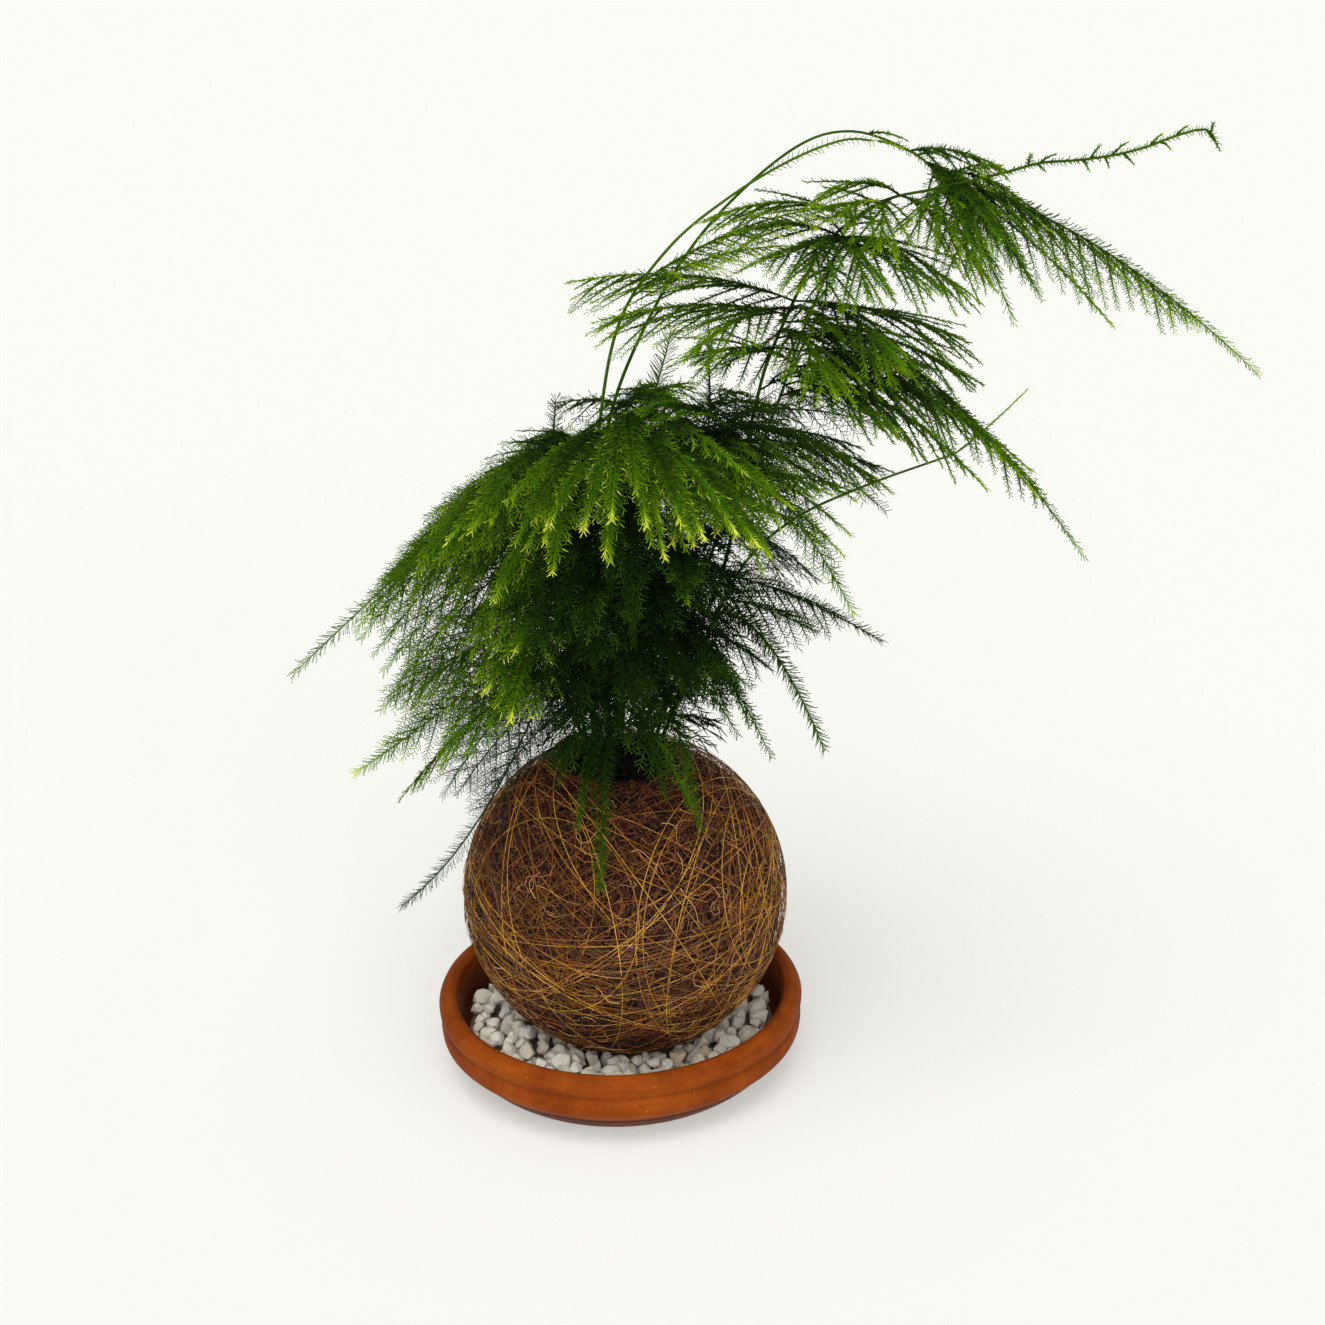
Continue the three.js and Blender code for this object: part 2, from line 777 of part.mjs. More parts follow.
// Tries the branchlet as it would grow, then bent in its plane and shorter, and gives
// the first one that is clear, or none.
function settleBranchlet(curve, plan, t, side, kin) {
  const { along, left, face } = ribFrame(curve, plan.tilt, t);
  const { root, swell, power, end } = FROND.outline;
  const grown = Math.min(1, root + swell * t) * (1 - t) ** power + end;
  const bend = along.clone().multiplyScalar(FROND.sweep).addScaledVector(UP, -FROND.sag);
  for (const [turn, share] of BRANCHLET.tries) {
    const length = plan.width * grown * share;
    if (length < BRANCHLET.shortest) return null;
    const angle = MathUtils.degToRad(MathUtils.lerp(...FROND.spread, t) + turn);
    const out = along.clone().multiplyScalar(Math.cos(angle));
    out.addScaledVector(left, side * Math.sin(angle));
    const branchlet = { base: curve.getPoint(t), out, bend, length, face };
    const points = BRANCHLET.checked.map((k) => branchletPoint(branchlet, k));
    const wide = BRANCHLET.radius + BRANCHLET.margin;
    if (!isClear(points, wide, kin)) continue;
    branchlet.shoot = `${kin.at(-1)} side ${side}`;
    keepStrand(points, wide, branchlet.shoot, kin.at(-1));
    return branchlet;
  }
  return null;
}

function growBranchlet(skin, root, { base, out, bend, length, face, shoot }) {
  const branchlet = { base, out, bend, length };
  const stationAt = (k, collar) => {
    const along = out.clone().addScaledVector(bend, 2 * k);
    const radius = BRANCHLET.radius * (1 - BRANCHLET.taper * k);
    return station(branchletPoint(branchlet, k), along, face, radius, collar);
  };
  const stations = [];
  const isSingle = length < BRANCHLET.single;
  const bare = length - (isSingle ? BRANCHLET.tip : NEEDLE.length);
  for (const share of length > BRANCHLET.longer ? [0.5, 1] : [1]) {
    const k = (share * bare) / length;
    const kin = [shoot, `${shoot} collar ${share}`];
    const needles = share < 1 ? BRANCHLET.middleNeedles : BRANCHLET.endNeedles;
    const collar = (faces, at) =>
      faces.forEach((side, index) => {
        if (needles.includes(index)) bristle(skin, side, at, NEEDLE.length, kin);
        else skin.close(side);
      });
    stations.push(stationAt(k));
    if (!isSingle) stations.push(stationAt(k + BRANCHLET.collar / length, collar));
  }
  const turn = turnTo(skin, root, stations[0]);
  const turned = stations.map((at) => turnedBy(at, turn));
  growShoot(skin, root, turned, branchletPoint(branchlet, 1), (side, at) => {
    if (isSingle) bristle(skin, side, at, NEEDLE.tipLength, [shoot, `${shoot} tip`]);
    else skin.close(side);
  });
}

// Where the pairs of branchlets grow, as fractions of the rib.
function pairFractions(length, isShoot) {
  const spacing = isShoot ? FROND.tuftSpacing : FROND.pairSpacing;
  const fewest = Math.min(FROND.fewestPairs, Math.floor(length / FROND.closest));
  const pairs = Math.max(1, fewest, Math.round(length / spacing));
  const step = (FROND.lastPair - FROND.firstPair) / Math.max(1, pairs - 1);
  return Array.from({ length: pairs }, (_, i) => FROND.firstPair + i * step);
}

// A frond's rib as stations, with a bare stretch at its root and a collar for each pair.
function planFrond(stem, row, index) {
  const shoot = `${stem.name} frond ${index}`;
  const isLeader = row.at === 1;
  const base = stem.curve.getPointAt(row.at);
  const curve = ribCurve(base, row);
  const length = curve.getLength();
  const stationAt = (t, collar) => {
    const { along, face } = ribFrame(curve, row.tilt, t);
    return station(curve.getPoint(t), along, face, MathUtils.lerp(...FROND.radius, t), collar);
  };
  const plan = { ...row, shoot, curve, isLeader, base, pairs: [] };
  const isShoot = row.width < BRANCHLET.shortest;
  plan.stations = isLeader ? [] : [stationAt(FROND.rootClear / length)];
  for (const t of pairFractions(length, isShoot)) {
    const pair = { t, collar: `${shoot} pair ${t}`, branchlets: new Map() };
    const end = t + FROND.collar / length;
    plan.stations.push(stationAt(t), stationAt(end, (faces, at) => growPair(plan, pair, faces, at)));
    plan.pairs.push(pair);
  }
  plan.stations.push(stationAt(1 - FROND.tip / length));
  const rodStart = isLeader ? base : base.clone().lerp(plan.stations[0].point, 0.5);
  const rod = [rodStart, ...plan.stations.map(({ point }) => point), curve.v2];
  keepStrand(rod, FROND.radius[0], shoot, shoot);
  return plan;
}

function settlePairs(plan) {
  for (const pair of plan.pairs) {
    const kin = [plan.shoot, pair.collar];
    pair.branchlets.set(LEFT_FRONT, settleBranchlet(plan.curve, plan, pair.t, 1, kin));
    pair.branchlets.set(RIGHT_FRONT, settleBranchlet(plan.curve, plan, pair.t, -1, kin));
  }
}

function growPair({ skin, shoot, width }, { collar, branchlets }, faces, at) {
  const isShoot = width < BRANCHLET.shortest;
  faces.forEach((face, k) => {
    const branchlet = branchlets.get(k);
    if (branchlet) growBranchlet(skin, face, branchlet);
    else if (!isShoot && !RIB_NEEDLES.includes(k)) skin.close(face);
    else bristle(skin, face, at, isShoot ? FROND.tuftNeedle : NEEDLE.length, [shoot, collar]);
  });
}

function growFrond(skin, root, plan) {
  plan.skin = skin;
  const [first] = plan.stations;
  if (!plan.isLeader) plan.stations[0] = turnedBy(first, turnTo(skin, root, first));
  growShoot(skin, root, plan.stations, plan.curve.v2, (face, at) =>
    bristle(skin, face, at, NEEDLE.tipLength, [plan.shoot, `${plan.shoot} tip`]),
  );
}

// Leafy stems: a stem stands in its hole in the soil, and each of its fronds grows from
// a face of a collar, the last from its end.

const sideways = new Vector3(0, 1, 0);

function planStem(row) {
  const curve = stemCurve(row);
  const length = curve.getLength();
  const stem = { ...row, curve, stations: [] };
  const stationAt = (distance, face = sideways, collar = undefined) => {
    const u = Math.min(1, distance / length);
    const radius = MathUtils.lerp(STEM.footRadius, STEM.topRadius, u);
    return station(curve.getPointAt(u), curve.getTangentAt(u), face, radius, collar);
  };
  const grown = row.fronds.map((frondRow, index) => planFrond(stem, frondRow, index));
  stem.leader = grown.find(({ isLeader }) => isLeader);
  stem.side = grown.filter(({ isLeader }) => !isLeader).sort((a, b) => a.at - b.at);
  let distance = 0;
  stem.stations.push(stationAt(distance));
  const plainTo = (end, face) => {
    const steps = Math.ceil((end - distance) / STEM.step);
    const from = distance;
    for (let i = 1; i <= steps; i++) {
      const turned = i === steps ? face : undefined;
      stem.stations.push(stationAt(MathUtils.lerp(from, end, i / steps), turned));
    }
    distance = end;
  };
  for (const plan of stem.side) {
    const away = plan.curve.getTangent(0).negate();
    plainTo(plan.at * length - STEM.collar / 2, away);
    distance += STEM.collar;
    stem.stations.push(stationAt(distance, away, (faces) => growFromStem(stem, plan, faces)));
  }
  plainTo(length);
  const end = stem.stations.at(-1);
  const elbow = end.along.clone().add(stem.leader.curve.getTangent(0));
  stem.stations[stem.stations.length - 1] = station(end.point, elbow, end.face, end.radius);
  const [x, y] = row.foot;
  stem.base = station(new Vector3(x, y, STEM.foot), UP, sideways, STEM.footRadius);
  const rod = [stem.base, ...stem.stations].map(({ point }) => point);
  keepStrand(rod, STEM.footRadius, row.name, row.name);
  return stem;
}

// A collar has its first corner turned away from the frond, so the frond takes the
// front face on the far side from that corner.
function growFromStem({ skin }, plan, faces) {
  faces.forEach((face, index) => {
    if (index === UNDER_FRONT) growFrond(skin, face, plan);
    else skin.close(face);
  });
}

function growStem(stem) {
  const skin = new Skin();
  stem.skin = skin;
  const [a, b, c] = ringAt(skin, stem.base);
  skin.close([a, c, b]);
  let from = [a, b, c];
  for (const at of stem.stations) {
    const to = ringAt(skin, at);
    const faces = sleeve(facing(skin, from, at), to);
    if (at.collar) at.collar(faces, at);
    else faces.forEach((face) => skin.close(face));
    from = to;
  }
  growFrond(skin, from, stem.leader);
  return piece(stem.name, skin.geometry(), TONES[stem.tone], 0.7);
}

const stems = STEMS.map(planStem);
stems.forEach((stem) => [stem.leader, ...stem.side].forEach(settlePairs));

const plant = new Group();
plant.name = "plant";
plant.add(...stems.map(growStem));

const kokedama = new Group();
kokedama.name = "kokedama";
kokedama.add(saucer(), marbleChips(), soilBall(), coirWrap(), bindingThread(), plant);

export default kokedama;
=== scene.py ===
"""Looks of a kokedama: an asparagus fern in a coir ball wound with thread.

The ball rests on white marble chips in a terracotta saucer. Lengths are millimetres
until a mesh is written, +Z is up, the origin is the centre of the saucer's underside,
and the camera stands on the -Y side.
"""

import logging
from dataclasses import dataclass, fields, replace
from enum import Enum

import bmesh
import bpy
import numpy as np
from mathutils import Matrix, Vector


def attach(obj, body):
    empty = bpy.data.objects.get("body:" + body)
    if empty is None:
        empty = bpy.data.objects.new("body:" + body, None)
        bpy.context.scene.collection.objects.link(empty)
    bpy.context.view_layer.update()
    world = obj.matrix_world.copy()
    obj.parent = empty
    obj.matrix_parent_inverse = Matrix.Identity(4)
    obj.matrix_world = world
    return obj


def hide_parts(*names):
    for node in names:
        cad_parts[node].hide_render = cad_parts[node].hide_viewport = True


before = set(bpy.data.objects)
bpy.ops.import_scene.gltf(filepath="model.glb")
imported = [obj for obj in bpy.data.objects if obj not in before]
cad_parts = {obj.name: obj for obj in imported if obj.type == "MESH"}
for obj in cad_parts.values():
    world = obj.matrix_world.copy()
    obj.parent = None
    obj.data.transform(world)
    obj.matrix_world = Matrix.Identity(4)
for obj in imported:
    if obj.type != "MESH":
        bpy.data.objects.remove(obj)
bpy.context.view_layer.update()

log = logging.getLogger("kokedama")

MM = 0.001
UP = np.array([0.0, 0.0, 1.0])
FULL_TURN = 2 * np.pi
BODY = "root"
BALL_CENTRE = np.array([4.0, 0.0, 85.0])
BALL_REACH = 90.0  # from its centre; the tips of a fill's fronds come no nearer

Array = np.ndarray
Colour = tuple[float, float, float, float]
Stops = tuple[tuple[float, Colour], ...]  # places from 0 to 1 on a ramp, and their colours


class Mark(Enum):
    """What a mesh says of each of its points, for the finishes to read."""

    TONE = "tone"
    # painted shade: dark deep among the marble chips, grey on fronds that hang behind
    ASH = "ash"


def unit(vectors: Array) -> Array:
    """Vectors of length 1 along the last axis."""
    return vectors / np.maximum(np.linalg.norm(vectors, axis=-1, keepdims=True), 1e-9)


def shade(red: int, green: int, blue: int) -> Colour:
    """A colour in linear light from its 0 to 255 screen values.

    A share s of 255 becomes s / 12.92 up to 0.04045, and ((s + 0.055) / 1.055)^2.4 over it.

    Args:
        red: the screen value of red.
        green: the screen value of green.
        blue: the screen value of blue.

    Returns:
        The colour, with an alpha of 1.
    """
    screen = np.array([red, green, blue]) / 255
    linear = np.where(screen <= 0.04045, screen / 12.92, ((screen + 0.055) / 1.055) ** 2.4)
    return (*linear.tolist(), 1.0)


# Shader maths


@dataclass(frozen=True)
class Wire:
    """One output of a shader node. Sums on it add Math nodes."""

    book: "FinishBook"
    socket: bpy.types.NodeSocket

    def _math(self, operation: str, first: "Term", second: "Term") -> "Wire":
        """The result of one Math node."""
        return self.book.node("ShaderNodeMath", {"operation": operation}, {0: first, 1: second})

    def __add__(self, other: "Term") -> "Wire":
        """Sum with a wire or a number."""
        return self._math("ADD", self, other)

    def __sub__(self, other: "Term") -> "Wire":
        """Difference from a wire or a number."""
        return self._math("SUBTRACT", self, other)

    def __mul__(self, other: "Term") -> "Wire":
        """Product with a wire or a number."""
        return self._math("MULTIPLY", self, other)

    def __rsub__(self, other: "Term") -> "Wire":
        """A number less this wire."""
        return self._math("SUBTRACT", other, self)

    __radd__ = __add__
    __rmul__ = __mul__


Term = Wire | float | tuple[float, ...]


class FinishBook:
    """The nodes of one material."""

    def __init__(self, name: str) -> None:
        """Starts a material with its Principled shader.

        Args:
            name: the material's name.
        """
        self.material = bpy.data.materials.new(name)
        self.material.use_nodes = True
        self.tree = self.material.node_tree
        self.surface = self.tree.nodes["Principled BSDF"]

    def node(
        self,
        kind: str,
        settings: dict[str, object] | None = None,
        values: dict[int | str, Term] | None = None,
        output: int | str = 0,
    ) -> Wire:
        """Adds one node.

        Args:
            kind: the node's Blender type.
            settings: its properties, which are set first, or a ramp's stops.
            values: numbers, colours or wires of its inputs.
            output: the output that is wanted.

        Returns:
            That output.
        """
        node = self.tree.nodes.new(kind)
        for name, setting in (settings or {}).items():
            if name == "stops":
                self._set_stops(node.color_ramp, setting)
            else:
                setattr(node, name, setting)
        for name, value in (values or {}).items():
            self.feed(node.inputs[name], value)
        return Wire(self, node.outputs[output])

    @staticmethod
    def _set_stops(ramp: bpy.types.ColorRamp, stops: Stops) -> None:
        """Gives a ramp its colours.

        Args:
            ramp: the ramp.
            stops: their places and the colours.
        """
        while len(ramp.elements) < len(stops):
            ramp.elements.new(1.0)
        for element, (place, colour) in zip(ramp.elements, stops):
            element.position = place
            element.color = colour

    def feed(self, socket: bpy.types.NodeSocket, value: Term) -> None:
        """Links a wire to a socket, or sets a constant on it.

        Args:
            socket: the input.
            value: the wire, number, vector or colour.
        """
        if isinstance(value, Wire):
            self.tree.links.new(value.socket, socket)
        else:
            socket.default_value = value

    def place(self, stretch: tuple[float, float, float] = (1, 1, 1)) -> Wire:
        """The object's own coordinates in metres.

        Args:
            stretch: what they are multiplied by along each axis.

        Returns:
            The coordinates.
        """
        spot = self.node("ShaderNodeTexCoord", output="Object")
        if stretch == (1, 1, 1):
            return spot
        return self.node("ShaderNodeMapping", {}, {"Vector": spot, "Scale": stretch})

    def noise(self, spot: Wire, grain: float, detail: float = 3.0, rough: float = 0.55) -> Wire:
        """Cloudy noise from 0 to 1.

        Args:
            spot: the coordinates that it is laid over.
            grain: the width of a cloud in millimetres.
            detail: how many finer layers it has.
            rough: how strong the finer layers are.

        Returns:
            The noise.
        """
        values = {"Vector": spot, "Scale": 1 / (grain * MM), "Detail": detail, "Roughness": rough}
        return self.node("ShaderNodeTexNoise", {}, values)

    def cells(self, spot: Wire, grain: float) -> Wire:
        """Distance to the nearest of scattered points, in cells of a width in millimetres."""
        return self.node("ShaderNodeTexVoronoi", {}, {"Vector": spot, "Scale": 1 / (grain * MM)})

    def step(self, value: Wire, low: float, high: float) -> Wire:
        """0 below low, 1 above high, and smooth between them, also where high is the lower."""
        limits = {"Value": value, "From Min": low, "From Max": high}
        return self.node("ShaderNodeMapRange", {"interpolation_type": "SMOOTHSTEP"}, limits)

    def mark(self, mark: Mark) -> Wire:
        """What the mesh says of each point."""
        return self.node("ShaderNodeAttribute", {"attribute_name": mark.value}, output="Fac")

    def ramp(self, value: Wire, stops: Stops) -> Wire:
        """A colour by a value's place among the stops."""
        return self.node("ShaderNodeValToRGB", {"stops": stops}, {"Fac": value})

    def mix(self, share: Term, first: Term, second: Term) -> Wire:
        """The first colour with a share of the second."""
        values = {0: share, 6: first, 7: second}
        return self.node("ShaderNodeMix", {"data_type": "RGBA"}, values, output=2)

    def bump(self, height: Wire, depth: float, strength: float = 1.0) -> None:
        """Raises the surface by a height from 0 to 1 times a depth in millimetres."""
        values = {"Height": height, "Distance": depth * MM, "Strength": strength}
        self.feed(self.surface.inputs["Normal"], self.node("ShaderNodeBump", {}, values))

    def finish(self, colour: Term, roughness: Term, **constants: float) -> bpy.types.Material:
        """Sets the shader and gives the finished material.

        Args:
            colour: the base colour.
            roughness: the roughness.
            constants: plain numbers for other sockets, with _ for each space.

        Returns:
            The material.
        """
        self.feed(self.surface.inputs["Base Color"], colour)
        self.feed(self.surface.inputs["Roughness"], roughness)
        for name, value in constants.items():
            self.surface.inputs[name.replace("_", " ")].default_value = value
        return self.material


# Finishes


@dataclass(frozen=True)
class Terracotta:
    """Matt fired clay, darker where the inside is damp, and with painted shade towards the foot."""

    patch: float = 22.0  # width of a patch of lighter or darker clay
    streak: float = 30.0  # length of a streak round the wheel
    grain: float = 1.1
    fired: Stops = ((0.36, shade(112, 46, 0)), (0.5, shade(136, 60, 2)), (0.64, shade(154, 74, 8)))
    speck_cell: float = 3.4  # space that holds one pale speck
    speck: Colour = shade(206, 140, 96)
    pit_cell: float = 5.2  # space that holds one pit
    pit: Colour = shade(70, 26, 10)
    damp_rim: tuple[float, float] = (77.4, 75.4)  # radii where the damp starts and is full
    damp_top: tuple[float, float] = (33.6, 28.0)  # heights where it starts and is full
    damp: Colour = shade(66, 26, 10)
    foot_shade_top: tuple[float, float] = (14.0, 8.0)  # heights where the painted shade at the foot starts and is full
    # painted shade on the outside below the band, down to the foot
    foot: Colour = shade(34, 8, 0)
    relief: float = 0.35

    def material(self) -> bpy.types.Material:
        """Builds the material.

        Returns:
            The material.
        """
        book = FinishBook("terracotta")
        spot = book.place()
        patches = book.noise(spot, self.patch, 4, 0.6)
        grain = book.noise(spot, self.grain, 3, 0.7)
        streaks = book.noise(book.place((1, 1, 9)), self.streak, 4, 0.6)
        clay = book.ramp(patches * 0.55 + streaks * 0.3 + grain * 0.15, self.fired)
        specks = book.step(book.cells(spot, self.speck_cell), 0.13, 0.05)
        specks = specks * book.step(patches, 0.42, 0.6)
        clay = book.mix(specks * 0.55, clay, self.speck)
        pits = book.step(book.cells(book.place((1.2, 0.9, 1.1)), self.pit_cell), 0.1, 0.05)
        clay = book.mix(pits * 0.6, clay, self.pit)
        flat = book.node("ShaderNodeVectorMath", {"operation": "MULTIPLY"}, {0: spot, 1: (1, 1, 0)})
        span = book.node("ShaderNodeVectorMath", {"operation": "LENGTH"}, {0: flat}, "Value")
        height = book.node("ShaderNodeSeparateXYZ", {}, {0: spot}, "Z")
        inside = book.step(span, self.damp_rim[0] * MM, self.damp_rim[1] * MM)
        damp = inside * book.step(height, self.damp_top[0] * MM, self.damp_top[1] * MM)
        clay = book.mix(damp * 0.72, clay, self.damp)
        # painted shade low on the outside, towards the foot
        low = book.step(height, self.foot_shade_top[0] * MM, self.foot_shade_top[1] * MM) * (1 - inside)
        clay = book.mix(low, clay, self.foot)
        book.bump(grain * 0.6 + streaks * 0.5 - pits * 1.5 + patches * 0.4, self.relief, 0.6)
        return book.finish(clay, 0.6 - damp * 0.15 + grain * 0.14, Specular_IOR_Level=0.1)


@dataclass(frozen=True)
class Marble:
    """Broken white marble, with a tone for each chip, and painted shade deep in the bed."""

    cloud: float = 4.0
    grain: float = 0.9
    stone: Stops = (
        (0.0, shade(236, 226, 206)),
        (0.45, shade(254, 246, 230)),
        (0.85, shade(255, 250, 240)),
        (0.94, shade(246, 232, 204)),
        (1.0, shade(232, 204, 164)),
    )
    grey: Colour = shade(196, 194, 188)
    # painted shade among the lower chips and on the bed
    bed_shade: Colour = shade(120, 104, 84)
    relief: float = 0.8

    def material(self) -> bpy.types.Material:
        """Builds the material.

        Returns:
            The material.
        """
        book = FinishBook("marble")
        spot = book.place()
        cloud = book.noise(spot, self.cloud, 4, 0.6)
        grain = book.noise(spot, self.grain, 3, 0.6)
        stone = book.ramp(book.mark(Mark.TONE), self.stone)
        stone = book.mix(book.step(cloud, 0.55, 0.75) * 0.3, stone, self.grey)
        # painted shade, mixed in by the mark that grows with depth in the bed
        stone = book.mix(book.mark(Mark.ASH), stone, self.bed_shade)
        book.bump(grain * 1.2 + cloud * 1.6, self.relief, 0.9)
        return book.finish(stone, 0.5 + grain * 0.25, Specular_IOR_Level=0.4)


@dataclass(frozen=True)
class Coir:
    """Curled coconut fibre, dark in the mat and paler in single fibres."""

    strand: float = 1.6
    patch: float = 12.0
    felt: Stops = ((0.35, shade(6, 2, 1)), (0.55, shade(20, 7, 3)), (0.75, shade(48, 20, 9)))
    curls: tuple[tuple[float, Colour], ...] = (
        (4.2, shade(96, 50, 26)),
        (3.0, shade(140, 92, 54)),
        (5.4, shade(70, 26, 13)),
    )  # width and colour of each sort of fibre that is drawn on the mat
    curl_edge: tuple[float, float] = (0.0009, 0.0002)  # (noise - 0.5)² where one starts and is full
    mat_relief: float = 1.2
    wear: float = 5.0
    fibre: Stops = (
        (0.0, shade(22, 7, 4)),
        (0.3, shade(68, 25, 11)),
        (0.6, shade(150, 70, 26)),
        (0.85, shade(206, 136, 66)),
        (1.0, shade(240, 196, 132)),
    )

    def mat(self) -> bpy.types.Material:
        """The felted mat, with a fibre drawn along each line where a noise is 0.5.

        Returns:
            The material.
        """
        book = FinishBook("coir_mat")
        spot = book.place()
        strands = book.noise(spot, self.strand, 5, 0.75)
        patches = book.noise(spot, self.patch, 3, 0.6)
        colour = book.ramp(strands * 0.75 + patches * 0.25, self.felt)
        for width, pale in self.curls:
            level = book.noise(spot, width, 1, 0.4) - 0.5
            colour = book.mix(book.step(level * level, *self.curl_edge) * 0.8, colour, pale)
        book.bump(strands, self.mat_relief, 0.9)
        return book.finish(colour, 0.9, Specular_IOR_Level=0.2)

    def fibres(self) -> bpy.types.Material:
        """Single fibres, by their tone.

        Returns:
            The material.
        """
        book = FinishBook("coir_fibre")
        wear = book.noise(book.place(), self.wear, 3, 0.6)
        colour = book.ramp(book.mark(Mark.TONE) + (wear - 0.5) * 0.25, self.fibre)
        return book.finish(colour, 0.6, Specular_IOR_Level=0.35)


@dataclass(frozen=True)
class Thread:
    """Thin waxed thread between olive and gold."""

    wear: float = 9.0
    wax: Stops = (
        (0.0, shade(40, 24, 2)),
        (0.35, shade(86, 52, 0)),
        (0.65, shade(164, 104, 6)),
        (1.0, shade(246, 190, 72)),
    )

    def material(self) -> bpy.types.Material:
        """Builds the material.

        Returns:
            The material.
        """
        book = FinishBook("thread")
        wear = book.noise(book.place(), self.wear, 3, 0.6)
        colour = book.ramp(book.mark(Mark.TONE) + (wear - 0.5) * 0.5, self.wax)
        return book.finish(colour, 0.45, Specular_IOR_Level=0.45)


@dataclass(frozen=True)
class Soil:
    """Damp potting soil."""

    crumb: float = 2.4
    earth: Stops = ((0.35, shade(18, 12, 8)), (0.7, shade(58, 40, 26)))
    relief: float = 1.5

    def material(self) -> bpy.types.Material:
        """Builds the material.

        Returns:
            The material.
        """
        book = FinishBook("soil")
        crumbs = book.noise(book.place(), self.crumb, 5, 0.7)
        book.bump(crumbs, self.relief)
        return book.finish(book.ramp(crumbs, self.earth), 0.9, Specular_IOR_Level=0.2)


@dataclass(frozen=True)
class Fern:
    """Needles and stems, from a dark green that is mostly painted shade within the crown to the
    yellow-green of new growth.
    """

    patch: float = 26.0
    green: Stops = (
        (0.0, shade(3, 10, 2)),
        (0.25, shade(26, 52, 0)),
        (0.5, shade(72, 110, 0)),
        (0.75, shade(130, 164, 8)),
        (1.0, shade(220, 230, 80)),
    )
    # painted shade: the greyed look of fronds that hang behind
    grey: Colour = shade(60, 72, 66)

    def material(self) -> bpy.types.Material:
        """Builds the material.

        Returns:
            The material.
        """
        book = FinishBook("fern")
        patches = book.noise(book.place(), self.patch, 3, 0.6)
        green = book.ramp(book.mark(Mark.TONE) + (patches - 0.5) * 0.22, self.green)
        # painted shade greys the fronds behind, by their mark
        colour = book.mix(book.mark(Mark.ASH), green, self.grey)
        return book.finish(colour, 0.6, Specular_IOR_Level=0.06)


# Meshes


class Skin:
    """A mesh gathered from arrays of points, triangles and marks."""

    def __init__(self) -> None:
        """Starts empty."""
        self.points: list[Array] = []
        self.faces: list[Array] = []
        self.marks: dict[Mark, list[Array]] = {mark: [] for mark in Mark}
        self.count = 0

    def add(self, points: Array, faces: Array, tone: Array | float, ash: Array | float = 0.0) -> None:
        """Adds a part.

        Args:
            points: its points.
            faces: the triangles between them, by the points' numbers in this part.
            tone: their tone, one for all or one for each.
            ash: their painted shade, in the same way.
        """
        self.points.append(points)
        self.faces.append(faces + self.count)
        self.marks[Mark.TONE].append(np.broadcast_to(tone, len(points)))
        self.marks[Mark.ASH].append(np.broadcast_to(ash, len(points)))
        self.count += len(points)

    def piece(self, name: str, material: bpy.types.Material, smooth: bool) -> bpy.types.Object:
        """Writes the mesh in metres.

        Args:
            name: the piece's name.
            material: its finish.
            smooth: whether light runs smoothly over its edges.

        Returns:
            The piece, which rides on the body.
        """
        points = np.concatenate(self.points) * MM
        faces = np.concatenate(self.faces)
        mesh = bpy.data.meshes.new(name)
        mesh.vertices.add(len(points))
        mesh.vertices.foreach_set("co", points.astype(np.float32).ravel())
        mesh.loops.add(faces.size)
        mesh.loops.foreach_set("vertex_index", faces.astype(np.int32).ravel())
        mesh.polygons.add(len(faces))
        mesh.polygons.foreach_set("loop_start", np.arange(0, faces.size, 3, dtype=np.int32))
        mesh.polygons.foreach_set("use_smooth", np.full(len(faces), smooth))
        for mark, parts in self.marks.items():
            values = np.concatenate(parts).astype(np.float32)
            mesh.attributes.new(mark.value, "FLOAT", "POINT").data.foreach_set("value", values)
        mesh.update(calc_edges=True)
        mesh.materials.append(material)
        piece = bpy.data.objects.new(name, mesh)
        bpy.context.scene.collection.objects.link(piece)
        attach(piece, BODY)
        log.info("%s: %d triangles", name, len(faces))
        return piece


def bands(rings: int, sides: int, tip: int) -> list[Array]:
    """Triangles between rings of corners, and from the last ring to a point.

    Args:
        rings: how many rings there are, numbered from 0.
        sides: corners of a ring.
        tip: number of the point.

    Returns:
        The triangles, two arrays for each band and one for the point.
    """
    here = np.arange(sides)
    there = (here + 1) % sides
    faces = []
    for ring in range(rings - 1):
        low, high = ring * sides, (ring + 1) * sides
        faces.append(np.stack([low + here, low + there, high + there], axis=1))
        faces.append(np.stack([low + here, high + there, high + here], axis=1))
    last = (rings - 1) * sides
    faces.append(np.stack([last + here, last + there, np.full(sides, tip)], axis=1))
    return faces


